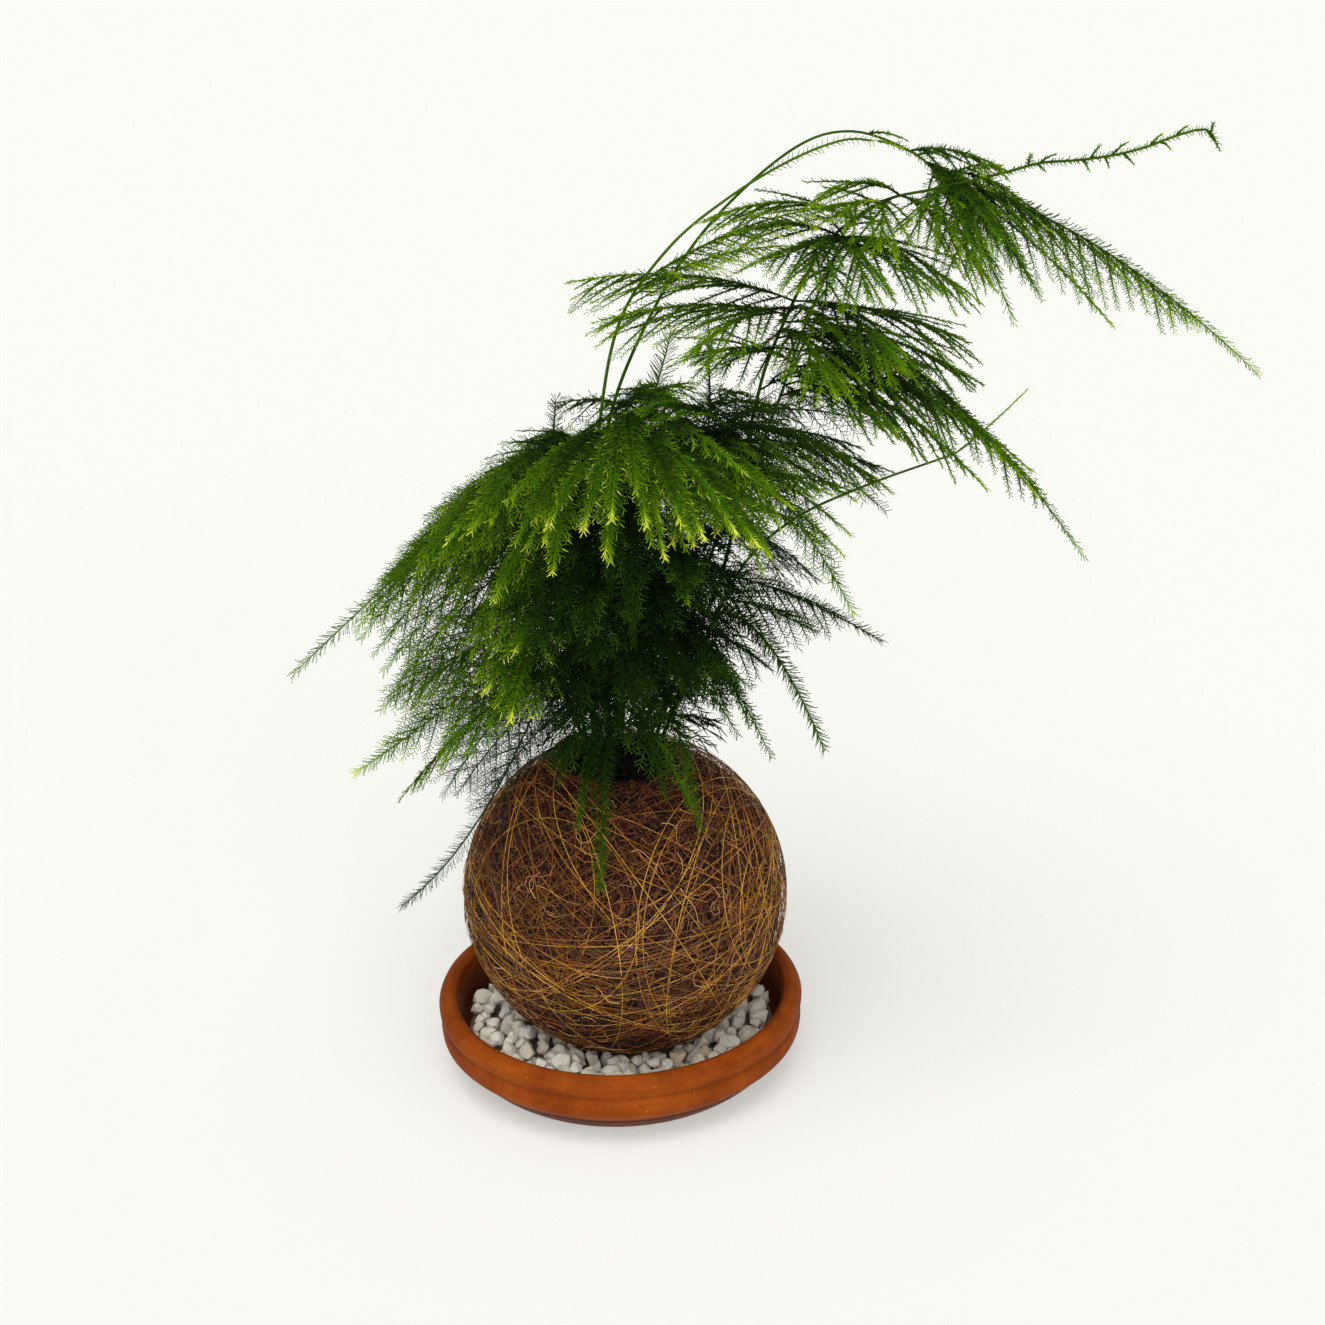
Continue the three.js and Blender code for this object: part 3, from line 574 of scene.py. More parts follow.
def tubes(paths: Array, squares: Array, radii: Array, sides: int) -> tuple[Array, Array]:
    """Closed tubes that run to a point.

    A corner stands at centre + radius · (cos a · across + sin a · lift), with a in even
    steps round the path. The last centre of a path is the tube's point.

    Args:
        paths: centres, as strands by centres by 3.
        squares: a direction for each strand that its path is never along.
        radii: radii, as strands by rings, one ring fewer than the centres.
        sides: corners of a ring.

    Returns:
        The points and the triangles.
    """
    count, rings = radii.shape
    along = unit(np.gradient(paths, axis=1))
    across = unit(np.cross(along, squares[:, None, :]))
    lift = np.cross(along, across)
    angles = FULL_TURN * np.arange(sides) / sides
    cosines, sines = np.cos(angles)[:, None], np.sin(angles)[:, None]
    corners = cosines * across[:, :-1, None] + sines * lift[:, :-1, None]
    walls = paths[:, :-1, None] + radii[:, :, None, None] * corners
    points = np.concatenate([walls.reshape(count, rings * sides, 3), paths[:, -1:]], axis=1)
    here = np.arange(sides)
    root = np.stack([0 * here[2:], here[2:], here[1:-1]], axis=1)
    one = np.concatenate([root, *bands(rings, sides, rings * sides)])
    starts = np.arange(count) * (rings * sides + 1)
    return points.reshape(-1, 3), (one[None] + starts[:, None, None]).reshape(-1, 3)


def blades(roots: Array, ways: Array, flats: Array, wide: tuple[float, float]) -> tuple[Array, Array]:
    """Slim closed wedges that show nearly the same width from every side.

    Each has a short edge at its root and one at its tip, square to each other and both
    leaning 45 degrees to the flat.

    Args:
        roots: where they start.
        ways: from their roots to their tips.
        flats: a direction for each that it is never along.
        wide: half of the edge's length at the root and at the tip.

    Returns:
        The points, four for each, and the triangles.
    """
    along = unit(ways)
    across = unit(np.cross(flats, along))
    lift = np.cross(along, across)
    rising, falling = (across + lift) * np.sqrt(0.5), (across - lift) * np.sqrt(0.5)
    tips = roots + ways
    rising, falling = rising * wide[0], falling * wide[1]
    corners = [roots - rising, roots + rising, tips - falling, tips + falling]
    points = np.stack(corners, axis=1).reshape(-1, 3)
    one = np.array([[0, 2, 1], [0, 1, 3], [1, 2, 3], [0, 3, 2]])
    return points, (one[None] + 4 * np.arange(len(roots))[:, None, None]).reshape(-1, 3)


def per_corner(values: Array, sides: int) -> Array:
    """A value for each centre of each tube, repeated for its ring's corners."""
    walls = np.repeat(values[:, :-1], sides, axis=1)
    return np.concatenate([walls, values[:, -1:]], axis=1).ravel()


def revolve(profile: Array, segments: int) -> tuple[Array, Array]:
    """A closed surface round the Z axis.

    A point stands at (r cos a, r sin a, z), with a in even steps and r and z from the
    profile, whose first and last points are on the axis.

    Args:
        profile: radius and height, anticlockwise as seen with the axis on the left.
        segments: steps round the axis.

    Returns:
        The points and the triangles.
    """
    angles = FULL_TURN * np.arange(segments) / segments
    radius, height = profile[1:-1, 0], profile[1:-1, 1]
    rings = np.stack(
        [
            radius[:, None] * np.cos(angles),
            radius[:, None] * np.sin(angles),
            np.repeat(height[:, None], segments, axis=1),
        ],
        axis=-1,
    )
    poles = [[0, 0, profile[0, 1]], [0, 0, profile[-1, 1]]]
    points = np.concatenate([rings.reshape(-1, 3), poles])
    bottom, top = len(points) - 2, len(points) - 1
    here = np.arange(segments)
    there = (here + 1) % segments
    underside = np.stack([np.full(segments, bottom), there, here], axis=1)
    return points, np.concatenate([underside, *bands(len(radius), segments, top)])


def along_line(line: Array, shares: Array) -> Array:
    """Points at fractions of a line's length."""
    run = np.concatenate([[0], np.cumsum(np.linalg.norm(np.diff(line, axis=0), axis=1))])
    return np.stack([np.interp(shares * run[-1], run, line[:, i]) for i in range(3)], axis=-1)


def rounded(outline: Array, reach: float, steps: int) -> Array:
    """An outline with each corner replaced by a curve.

    The curve is a quadratic one from a point before the corner to one after it, with the
    corner as its middle point, and both lie no further than the reach or 0.45 of a side.

    Args:
        outline: radius and height of the corners, whose ends stay as they are.
        reach: how far the curve starts from its corner.
        steps: points of a curve.

    Returns:
        The points of the rounded outline.
    """
    before, corner, after = outline[:-2], outline[1:-1], outline[2:]
    into, onward = before - corner, after - corner
    back = np.minimum(reach / np.linalg.norm(into, axis=1), 0.45)[:, None] * into
    forth = np.minimum(reach / np.linalg.norm(onward, axis=1), 0.45)[:, None] * onward
    k = np.linspace(0, 1, steps)[None, :, None]
    curve = corner[:, None] + (1 - k) ** 2 * back[:, None] + k**2 * forth[:, None]
    return np.concatenate([outline[:1], curve.reshape(-1, 2), outline[-1:]])


@dataclass(frozen=True)
class Ripple:
    """Smooth random relief.

    It is a sum of waves with random headings, each sin(heading · p + start) times the
    same amount.
    """

    seed: int
    width: float  # of a wave
    waves: int = 24
    rates: tuple[float, float] = (0.6, 1.6)  # of a wave against the plain one
    calm: float = 1.6  # divides the sum, so that it is seldom over 1

    def at(self, points: Array) -> Array:
        """Works out the relief.

        Args:
            points: the points.

        Returns:
            Its height at each, mostly between -1 and 1.
        """
        rng = np.random.default_rng(self.seed)
        headings = unit(rng.normal(size=(self.waves, 3))) * FULL_TURN / self.width
        headings *= rng.uniform(*self.rates, (self.waves, 1))
        starts = rng.uniform(0, FULL_TURN, self.waves)
        return np.sin(points @ headings.T + starts).sum(axis=-1) * np.sqrt(2 / self.waves) / self.calm


# Fern


@dataclass(frozen=True)
class Green:
    """A colour of needles: the tones at a frond's root and tip, its share of painted shade, and its slot.
    """

    root: float
    tip: float
    ash: float
    slot: str


class Tone(Enum):
    """The greens of the stems."""

    # DARK is painted shade, for stems under, within and behind the crown
    DARK = Green(0.1, 0.36, 0.0, "foliage_dark")
    OLIVE = Green(0.24, 0.6, 0.0, "foliage_dark")
    FRESH = Green(0.1, 0.5, 0.0, "foliage_fresh")
    YOUNG = Green(0.42, 0.74, 0.0, "foliage_young")
    # GREY is painted shade, for fronds that hang behind
    GREY = Green(0.12, 0.32, 0.5, "foliage_grey")


@dataclass(frozen=True)
class Frond:
    """A frond of a stem.

    at is the fraction of the stem where it grows, and 1 is the stem's own end. arch is how
    far it rises over the straight line to its tip, width the length of its longest
    branchlets, and tilt its plane's turn from level in degrees.
    """

    at: float
    tip: tuple[float, float, float]
    arch: float
    width: float
    tilt: float
    glow: float = 0.0  # how much yellower its tip is
    painted_light: float = 1.0  # share of the stem's tones: painted shade below 1, painted light over 1
    droop: float = 0.5  # how far its branchlets hang, against how far they stand out
    spread: float = 1.0  # share of the foliage's spread
    tail: float = 0.08  # share of the rib, at its tip, with needles alone


@dataclass(frozen=True)
class Fill:
    """More fronds of a stem, spread over ranges of place and shape."""

    count: int
    at: tuple[float, float]
    heading: tuple[float, float]  # in degrees, from +X towards +Y
    reach: tuple[float, float]  # level distance from the stem to the tip
    drop: tuple[float, float]  # from the stem to the tip
    width: float
    glow: float = 0.0
    # share of the stem's tones: painted shade below 1, painted light over 1
    painted_light: float = 1.0
    droop: float = 0.4
    arch: tuple[float, float] = (0.19, 0.08)  # shares of the reach and of the drop
    tilt_scatter: float = 16

    def fronds(self, line: Array, rng: np.random.Generator) -> list[Frond]:
        """Makes the fronds, one in each equal part of every range, the parts paired at random.

        Args:
            line: points of the stem.
            rng: the random draws.

        Returns:
            The fronds, whose tips hang clear of the ball.
        """
        parts = [rng.permutation(self.count) + rng.random(self.count) for _ in range(4)]
        ranges = (self.at, self.heading, self.reach, self.drop)
        rows = [low + (high - low) * part / self.count for part, (low, high) in zip(parts, ranges)]
        share, heading, reach, drop = rows
        turn = np.radians(heading)
        way = np.stack([reach * np.cos(turn), reach * np.sin(turn), -drop], axis=1)
        off = along_line(line, share) + way - BALL_CENTRE
        far = np.maximum(np.linalg.norm(off, axis=1), BALL_REACH)
        tips = BALL_CENTRE + unit(off) * far[:, None]
        arch = self.arch[0] * reach + self.arch[1] * drop
        tilt = rng.normal(0, self.tilt_scatter, self.count)
        return [
            Frond(*shape, self.width, turned, self.glow, self.painted_light, self.droop)
            for *shape, turned in zip(share, tips, arch, tilt)
        ]


def tufts(plan: Frond, *places: tuple[float, float, float]) -> tuple[Frond, ...]:
    """Small fronds that differ in their places alone.

    Args:
        plan: what they share, with the Y of their tips.
        places: the fraction of the stem, and the X and Z of the tip, for each.

    Returns:
        The fronds.
    """
    return tuple(replace(plan, at=at, tip=(x, plan.tip[1], z)) for at, x, z in places)


@dataclass(frozen=True)
class Stem:
    """A leafy stem: its place in the crown, the points that it passes, and its fronds."""

    name: str
    tone: Tone
    foot: tuple[float, float]
    path: tuple[tuple[float, float, float], ...]
    fronds: tuple[Frond, ...]
    fills: tuple[Fill, ...] = ()
    coarse: float = 1.0  # size of its needles, whose number falls with it
    slim: float = 1.0  # thickness of its needles and branchlets
    apart: float = 1.0  # how far apart its branchlets are, as a share of the foliage's spacing
    bare: float = 1.0  # fraction of it up to which it has no needles of its own


STEMS = (
    Stem(
        "stem_arch", Tone.OLIVE, (-1, 7),
        ((-3, 8, 200), (0, 6, 262), (4, 4, 314), (24, 8, 361), (49, 12, 397), (83, 13, 427),
         (108, 11, 435), (133, 5, 427), (146, 0, 416)),
        (
            Frond(1, (280, -8, 331), 24, 40, -60, glow=0.1, droop=1.3, spread=0.9, tail=0.2),
            Frond(0.99, (190, 14, 394), 14, 24, -30),
            Frond(0.975, (185, -20, 370), 16, 20, -60, painted_light=0.8, spread=0.8),
            Frond(1, (175, -12, 358), 10, 14, -60, glow=0.1, droop=0.1, spread=0.8, tail=0.2),
            Frond(0.985, (188, 8, 365), 12, 14, -60, glow=0.1, droop=0.1, spread=0.8, tail=0.2),
            Frond(1, (221, 14, 347), 12, 5, 0, glow=0.3),
            Frond(1, (167, -14, 425), 6, 14, -20, glow=0.1),
            Frond(0.96, (148, 4, 424), 4, 4, 0),
            Frond(0.9, (131, 10, 431), 3, 3, 0),
        ),
        fills=(
            Fill(4, (0.95, 1), (-80, 30), (30, 56), (10, 40), 28, glow=0.05, painted_light=0.9, droop=0.5),
        ),
        coarse=0.75,
        slim=1.35,
        apart=1.3,
        bare=0.93,
    ),
    Stem(
        "stem_companion", Tone.YOUNG, (-7, -3),
        ((-9, -4, 200), (-6, -5, 262), (0, -5, 317), (10, -5, 361), (31, -3, 391), (56, -1, 411),
         (82, 0, 426), (104, 0, 434), (118, -3, 434)),
        (
            Frond(1, (128, -5, 431), 1, 3, 0),
            Frond(0.66, (116, -14, 412), 16, 24, -20),
            Frond(0.64, (80, -22, 396), 12, 16, -20),
        ),
        bare=0.86,
    ),
    Stem(
        "stem_long_shoot", Tone.OLIVE, (13, 8),
        ((33, 11, 195), (52, 12, 239), (63, 14, 295), (68, 12, 319), (74, 10, 340), (90, 6, 377),
         (102, 4, 394), (121, 0, 408), (142, -9, 415), (169, -10, 421), (184, -11, 425),
         (199, -12, 426), (214, -13, 428), (227, -13, 431), (238, -13, 435), (249, -14, 438),
         (253, -14, 436), (256, -14, 432)),
        (
            Frond(0.527, (-11, -5, 378), 15, 50, -2, glow=0.05, droop=0.3, spread=0.55),
            Frond(0.527, (156, -14, 350), 8, 52, 0, painted_light=0.8, droop=0.2, spread=0.65),
            Frond(0.425, (150, 34, 322), 20, 32, 20, painted_light=0.7),
            Frond(0.63, (47, -10, 404), 16, 40, -2, droop=0.26, spread=0.5),
            Frond(0.684, (164, -14, 376), 12, 40, 0, droop=0.2, spread=0.7),
            Frond(0.74, (126, -30, 403), 6, 30, 0, glow=0.1, droop=0.2),
            Frond(0.684, (93, -12, 414), 12, 36, -2, droop=0.3, spread=0.55),
            Frond(0.747, (154, -20, 381), 12, 36, 0, droop=0.25, spread=0.7),
            Frond(0.511, (0, -20, 365), 12, 46, -4, droop=0.25, spread=0.5),
            Frond(0.495, (97, -64, 344), 14, 38, 0, glow=0.1, droop=0.2, spread=0.8),
            Frond(0.503, (160, -34, 338), 14, 46, 0, painted_light=0.7, droop=0.2, spread=0.65),
            Frond(0.519, (36, -50, 357), 12, 34, -4, glow=0.1, droop=0.15, spread=0.65),
            Frond(0.668, (116, -40, 398), 10, 34, 0, droop=0.2, spread=0.7),
            Frond(0.731, (166, -30, 398), 8, 32, 0, painted_light=0.8, droop=0.4),
            Frond(0.52, (96, -40, 365), 6, 26, 0, painted_light=0.9, droop=0.2),
            Frond(0.6, (106, -30, 395), 6, 28, 0, glow=0.1, droop=0.2),
            Frond(0.72, (140, -30, 395), 10, 28, 20, droop=0.3, spread=0.8),
            Frond(0.66, (100, -30, 408), 8, 34, -4, droop=0.15, spread=0.7),
            *tufts(
                Frond(0, (0, -13, 0), 1, 2.7, 0, glow=0.15),
                (0.811, 180, 429), (0.819, 186, 422), (0.822, 190, 429), (0.862, 204, 422),
                (0.87, 208, 432), (0.883, 212, 423), (0.89, 219, 433), (0.9, 222, 424),
                (0.927, 233, 436), (0.937, 237, 430), (0.953, 243, 439), (0.982, 257, 429),
                (0.987, 254, 440),
            ),
        ),
        fills=(
            Fill(1, (0.472, 0.519), (-60, 0), (45, 75), (0, 30), 36),
        ),
        coarse=0.72,
        slim=1.4,
        apart=1.45,
        bare=0.78,
    ),
    Stem(
        "stem_tiers", Tone.FRESH, (15, -3),
        ((31, -6, 200), (47, -7, 256), (62, -9, 289), (76, -11, 325), (87, -11, 357),
         (96, -11, 379), (103, -11, 396)),
        (
            Frond(1, (152, -34, 376), 14, 44, 0, glow=0.1, droop=0.2, spread=0.65),
            Frond(0.8, (207, -20, 254), 54, 40, -50, glow=0.15, droop=0.9, spread=0.9, tail=0.14),
            Frond(0.755, (159, -60, 302), 26, 34, -10, glow=0.3, painted_light=0.9, droop=0.4, spread=0.8, tail=0.1),
            Frond(0.78, (40, -34, 350), 14, 38, -3, droop=0.15, spread=0.65),
            Frond(0.88, (124, -66, 356), 14, 36, 0, droop=0.2, spread=0.65),
            Frond(1, (59, -18, 401), 10, 44, -3, glow=0.05, droop=0.2, spread=0.55),
            Frond(1, (68, -44, 396), 4, 38, -3, glow=0.1, droop=0.15, spread=0.6),
            Frond(1, (82, -70, 391), 12, 34, -3, glow=0.1, droop=0.15, spread=0.7),
            Frond(1, (109, -76, 388), 12, 36, 0, glow=0.15, droop=0.2, spread=0.7),
            Frond(1, (136, -50, 383), 12, 42, 0, glow=0.1, droop=0.2, spread=0.65),
            Frond(0.76, (139, -12, 297), 26, 30, -10, glow=0.2, painted_light=0.8),
            Frond(1, (114, 10, 399), 6, 26, 0, glow=0.1, droop=0.1),
            Frond(0.95, (94, -40, 377), 8, 26, 0, glow=0.15, droop=0.3),
            Frond(0.6, (17, -46, 334), 26, 34, -3, glow=0.1, painted_light=0.8, droop=0.2, spread=0.7),
            Frond(0.8, (50, -20, 342), 10, 24, -20),
            Frond(0.74, (180, -40, 302), 34, 36, -10, glow=0.2, spread=0.9, tail=0.12),
            Frond(0.84, (184, -25, 286), 34, 28, -10, glow=0.3, spread=0.9, tail=0.1),
            Frond(0.72, (122, -70, 328), 20, 28, -10, glow=0.1, painted_light=0.8, droop=0.25),
        ),
        fills=(
            Fill(2, (0.72, 0.85), (-40, 20), (60, 95), (10, 40), 30, glow=0.1, painted_light=0.7, droop=0.2),
        ),
        coarse=0.72,
        slim=1.4,
        apart=1.45,
    ),
    Stem(
        "stem_bare_shoot", Tone.YOUNG, (15, -9),
        ((38, -16, 205), (58, -22, 252), (80, -30, 278), (110, -36, 295), (149, -34, 308)),
        (
            Frond(1, (179, -30, 334), -2, 1.6, 0),
        ),
    ),
    Stem(
        "stem_left", Tone.FRESH, (-10, 2),
        ((-16, 2, 200), (-20, 0, 262), (-22, -2, 308)),
        (
            Frond(1, (-138, -18, 208), 3, 34, -45, glow=0.1, droop=0.6, tail=0.36),
            Frond(0.93, (-106, -48, 240), 24, 38, -45, glow=0.2, droop=0.3, spread=0.7),
            Frond(0.8, (-104, 30, 222), 20, 38, -45, droop=0.2, spread=0.7),
            Frond(0.965, (-88, -34, 261), 10, 32, -45, glow=0.1, droop=0.2, spread=0.7),
            Frond(0.96, (-100, -10, 242), 14, 30, -45, glow=0.15, droop=0.2, spread=0.7),
            Frond(0.9, (-105, -40, 233), 20, 34, -45, glow=0.25, droop=0.2, spread=0.7),
            Frond(0.85, (-101, -30, 221), 20, 34, -45, glow=0.2, droop=0.2, spread=0.7),
            Frond(0.75, (-96, -44, 219), 20, 34, -45, glow=0.2, droop=0.2, spread=0.7),
            Frond(0.7, (-96, -20, 197), 20, 34, -45, glow=0.1, droop=0.2, spread=0.7),
            Frond(0.95, (-45, -70, 297), 18, 30, -20, glow=0.4),
            Frond(0.98, (-67, -66, 279), 20, 32, -20, glow=0.15),
        ),
        apart=1.5,
    ),
    Stem(
        "stem_low_left", Tone.FRESH, (-7, -9),
        ((-18, -14, 190), (-30, -20, 236)),
        (
            Frond(1, (-97, -55, 206), 16, 34, -50, glow=0.15, droop=0.2, spread=0.8),
            Frond(0.9, (-112, -40, 169), -5, 28, -70, glow=0.35, painted_light=1.2, droop=0.1, spread=0.9, tail=0.16),
            Frond(0.7, (-72, -70, 186), 24, 30, -50, glow=0.2, droop=0.2, spread=0.8),
            Frond(0.8, (-40, -86, 214), 26, 30, -10, glow=0.85),
            Frond(0.9, (-37, -76, 241), 20, 28, 0, glow=0.9),
            Frond(0.8, (-50, -74, 222), 22, 28, 0, glow=0.9),
            Frond(1, (-57, -60, 240), 18, 30, 0, glow=0.1),
        ),
        fills=(
            Fill(3, (0.6, 1), (190, 250), (55, 85), (0, 50), 32, glow=0.1),
        ),
        apart=1.3,
    ),
    Stem(
        "stem_grey_left", Tone.GREY, (-9, 10),
        ((-22, 16, 180), (-34, 22, 208)),
        (
            Frond(0.7, (-102, 22, 68), -34, 26, -80, droop=0, tail=0.5),
            Frond(0.95, (-94, 44, 148), 14, 38, -75, droop=0, spread=1.1),
            Frond(0.7, (-80, 24, 124), 14, 38, -75, droop=0, spread=1.1),
            Frond(0.85, (-81, 34, 146), 12, 34, -75, droop=0, spread=1.1),
            Frond(0.55, (-72, 8, 133), 12, 34, -75, droop=0, spread=1.1),
            Frond(0.4, (-58, 0, 134), 10, 30, -75, droop=0, spread=1.1),
            Frond(1, (-99, 30, 171), 14, 34, -75, droop=0),
        ),
        slim=0.75,
        apart=1.3,
    ),
    Stem(
        "stem_dome_front", Tone.FRESH, (3, -6),
        ((4, -10, 200), (8, -14, 262), (12, -16, 326)),
        (
            Frond(0.96, (4, -100, 290), 30, 16, -10, glow=0.45, painted_light=0.8, droop=0.2),
            Frond(0.94, (36, -100, 300), 30, 16, 10, glow=0.4, painted_light=0.8, droop=0.2),
            Frond(0.92, (-34, -92, 296), 30, 16, -20, glow=0.35, painted_light=0.8, droop=0.2),
            Frond(0.88, (68, -80, 284), 32, 20, 20, glow=0.35, painted_light=0.8, droop=0.2),
            Frond(1, (40, -10, 332), 8, 26, 0, glow=0.1, painted_light=1.15, droop=0.2),
            Frond(1, (24, 30, 321), 6, 26, 0, glow=0.1, painted_light=1.1, droop=0.2),
            *tufts(
                Frond(0, (0, -96, 0), 24, 9, 0, glow=0.7, droop=0.1),
                (0.93, -6, 302), (0.96, 5, 306), (0.88, 2, 291), (0.94, 19, 303),
                (0.95, 33, 303), (0.87, 26, 289), (0.9, 42, 297), (0.92, 55, 299),
                (0.88, 64, 293), (0.9, -20, 304),
            ),
        ),
        fills=(
            Fill(5, (0.84, 0.98), (0, 180), (30, 50), (-4, 16), 28, glow=0.05, painted_light=1.2),
            Fill(22, (0.86, 1), (-162, -12), (45, 86), (6, 32), 13, glow=0.25, painted_light=1.05, droop=0.15),
            Fill(8, (0.7, 0.86), (-175, -5), (45, 80), (15, 50), 16, painted_light=0.4, droop=0.2),
            Fill(6, (0.4, 0.8), (-170, -10), (40, 80), (10, 60), 34, painted_light=0.12),
        ),
    ),
    Stem(
        "stem_dome_left", Tone.FRESH, (-3, -12),
        ((-8, -16, 200), (-10, -18, 255), (-12, -18, 314)),
        (
            Frond(1, (-52, -84, 298), 20, 20, -20, glow=0.4, droop=0.2),
            Frond(0.96, (-76, -66, 274), 26, 34, -30, glow=0.2),
            Frond(0.62, (-32, -92, 238), 34, 32, -10, glow=0.1, painted_light=0.45),
            Frond(0.55, (-4, -90, 240), 32, 30, 10, glow=0.05, painted_light=0.2),
            Frond(1, (-34, -20, 309), 10, 26, -10),
            Frond(0.97, (-24, 20, 300), 10, 26, 10),
            Frond(0.6, (-6, -84, 249), 24, 20, 0, glow=0.2, painted_light=0.5, droop=0.2),
        ),
        fills=(
            Fill(8, (0.8, 0.97), (196, 240), (45, 66), (40, 75), 20, glow=0.2),
            Fill(5, (0.84, 1), (232, 272), (55, 90), (0, 26), 15, glow=0.5),
            Fill(5, (0.4, 0.75), (205, 275), (35, 55), (5, 35), 34, painted_light=0.2),
        ),
    ),
    Stem(
        "stem_dome_right", Tone.FRESH, (9, 2),
        ((20, 0, 200), (34, -2, 262), (44, -4, 312)),
        (
            Frond(1, (107, -34, 236), 26, 20, 50, glow=0.3, droop=0.2, spread=1.1, tail=0.1),
            Frond(0.97, (69, -72, 279), 24, 22, 20, glow=0.4, droop=0.2),
            Frond(0.6, (122, 5, 206), 13, 30, 45, painted_light=0.5, droop=0.4, spread=0.9, tail=0.2),
            Frond(0.9, (70, 70, 262), 26, 34, -20, painted_light=0.7),
            Frond(0.52, (92, -20, 222), 10, 32, 45, painted_light=0.5, droop=0.4),
            Frond(1, (124, -20, 286), 22, 34, 10, glow=0.3, droop=0.3, spread=0.7),
            Frond(0.95, (84, 20, 313), 12, 32, 0, painted_light=0.9, droop=0.3),
            Frond(0.95, (127, 10, 284), 14, 36, 0, painted_light=0.6, droop=0.35),
            Frond(0.98, (114, 20, 292), 12, 32, 0, painted_light=0.7, droop=0.3),
            Frond(1, (63, 20, 319), 12, 30, 0, painted_light=0.9, droop=0.3),
            Frond(0.98, (108, -20, 283), 10, 14, 0, glow=0.3, droop=0.2),
            Frond(0.95, (106, -25, 269), 12, 12, 20, glow=0.3, droop=0.2),
            Frond(0.6, (35, -90, 267), 24, 18, 0, glow=0.4, painted_light=0.5, droop=0.2),
        ),
        fills=(
            Fill(6, (0.8, 1), (-70, 10), (45, 76), (0, 50), 20, glow=0.3),
            Fill(5, (0.86, 1), (-115, -70), (50, 84), (0, 24), 15, glow=0.5),
            Fill(5, (0.4, 0.78), (-110, -45), (35, 55), (5, 35), 36, painted_light=0.15),
        ),
    ),
    Stem(
        "stem_right", Tone.DARK, (19, 4),
        ((30, 4, 180), (44, 0, 222)),
        (
            Frond(1, (96, -6, 158), 42, 6.9, 60, glow=0.1),
            Frond(0.8, (63, 10, 162), 22, 7, 60, droop=0.2, spread=0.8),
            Frond(0.7, (71, -20, 162), 24, 7, 60, glow=0.1, droop=0.2, spread=0.8),
        ),
        slim=1.3,
    ),
    Stem(
        "stem_front", Tone.FRESH, (1, -16),
        ((0, -22, 180), (0, -26, 222)),
        (
            Frond(1, (14, -92, 222), 20, 26, 0, painted_light=0.25),
            Frond(0.45, (-5, -86, 134), 34, 6.9, 0, glow=0.05, painted_light=0.7),
            Frond(0.8, (24, -78, 172), 28, 20, 10, painted_light=0.5, droop=0.2),
            Frond(0.7, (-22, -74, 178), 28, 20, -10, painted_light=0.35, droop=0.2),
            Frond(0.6, (35, -80, 169), 20, 5.4, 0, glow=0.1, painted_light=0.8),
            Frond(0.5, (-14, -78, 160), 20, 5, 0, glow=0.05, painted_light=0.6),
        ),
        fills=(
            Fill(3, (0.6, 1), (-140, -70), (30, 45), (0, 22), 28, painted_light=0.2),
        ),
    ),
    Stem(
        "stem_front_right", Tone.DARK, (7, -14),
        ((14, -22, 175), (26, -32, 212)),
        (
            Frond(1, (55, -70, 197), 18, 8, 40, painted_light=0.8, droop=0.2),
            Frond(0.8, (38, -86, 162), 26, 9, 15, droop=0.2),
            Frond(0.9, (62, -40, 205), 18, 10, 40, glow=0.1, droop=0.2),
        ),
    ),
    Stem(
        "stem_inner", Tone.DARK, (3, 1),
        ((6, 3, 190), (8, 4, 240)),
        (
            Frond(1, (26, -62, 246), 20, 30, 0, painted_light=0.2),
            Frond(0.85, (-20, -62, 206), 24, 32, -10, painted_light=0.2),
            Frond(0.75, (58, 20, 206), 24, 32, 10, painted_light=0.4),
            Frond(0.7, (-20, 56, 196), 24, 32, 10, painted_light=0.4),
        ),
        fills=(
            Fill(16, (0.35, 1), (-180, 180), (28, 56), (-40, 24), 38, painted_light=0.1),
            Fill(14, (0.15, 0.7), (-180, 180), (22, 48), (-35, 18), 30, painted_light=0.05),
            Fill(10, (0.9, 1), (-180, 0), (20, 62), (-50, -8), 38, painted_light=0.1),
        ),
        coarse=1.7,
    ),
    Stem(
        "stem_back", Tone.DARK, (4, 13),
        ((8, 24, 200), (14, 34, 260), (18, 38, 312)),
        (
            Frond(1, (30, 110, 286), 8, 34, 0),
            Frond(0.965, (-20, 40, 310), 6, 24, -5),
            Frond(0.92, (32, 30, 346), -8, 6, -60, glow=0.4, painted_light=1.6),
            Frond(0.86, (84, 72, 292), 26, 34, -20),
            Frond(0.6, (10, 108, 216), 34, 36, 0, painted_light=0.6),
        ),
        fills=(
            Fill(6, (0.5, 1), (20, 160), (45, 85), (10, 60), 36, painted_light=0.6),
            Fill(8, (0.55, 0.92), (-160, -20), (20, 75), (-5, 40), 38, painted_light=0.2),
        ),
        coarse=1.35,
    ),
    Stem(
        "stem_back_left", Tone.DARK, (-4, 16),
        ((-14, 28, 195), (-24, 34, 250), (-22, 34, 296)),
        (
            Frond(1, (-20, 34, 314), -2, 4, -60),
            Frond(0.8, (-92, 74, 206), 22, 30, -40, painted_light=0.8, droop=0.3, spread=0.8),
            Frond(0.65, (-50, 100, 186), 32, 36, 10, painted_light=0.6),
        ),
        fills=(
            Fill(2, (0.5, 0.85), (115, 165), (45, 75), (20, 60), 36, painted_light=0.6),
        ),
        coarse=1.3,
    ),
    Stem(
        "stem_back_right", Tone.GREY, (12, 16),
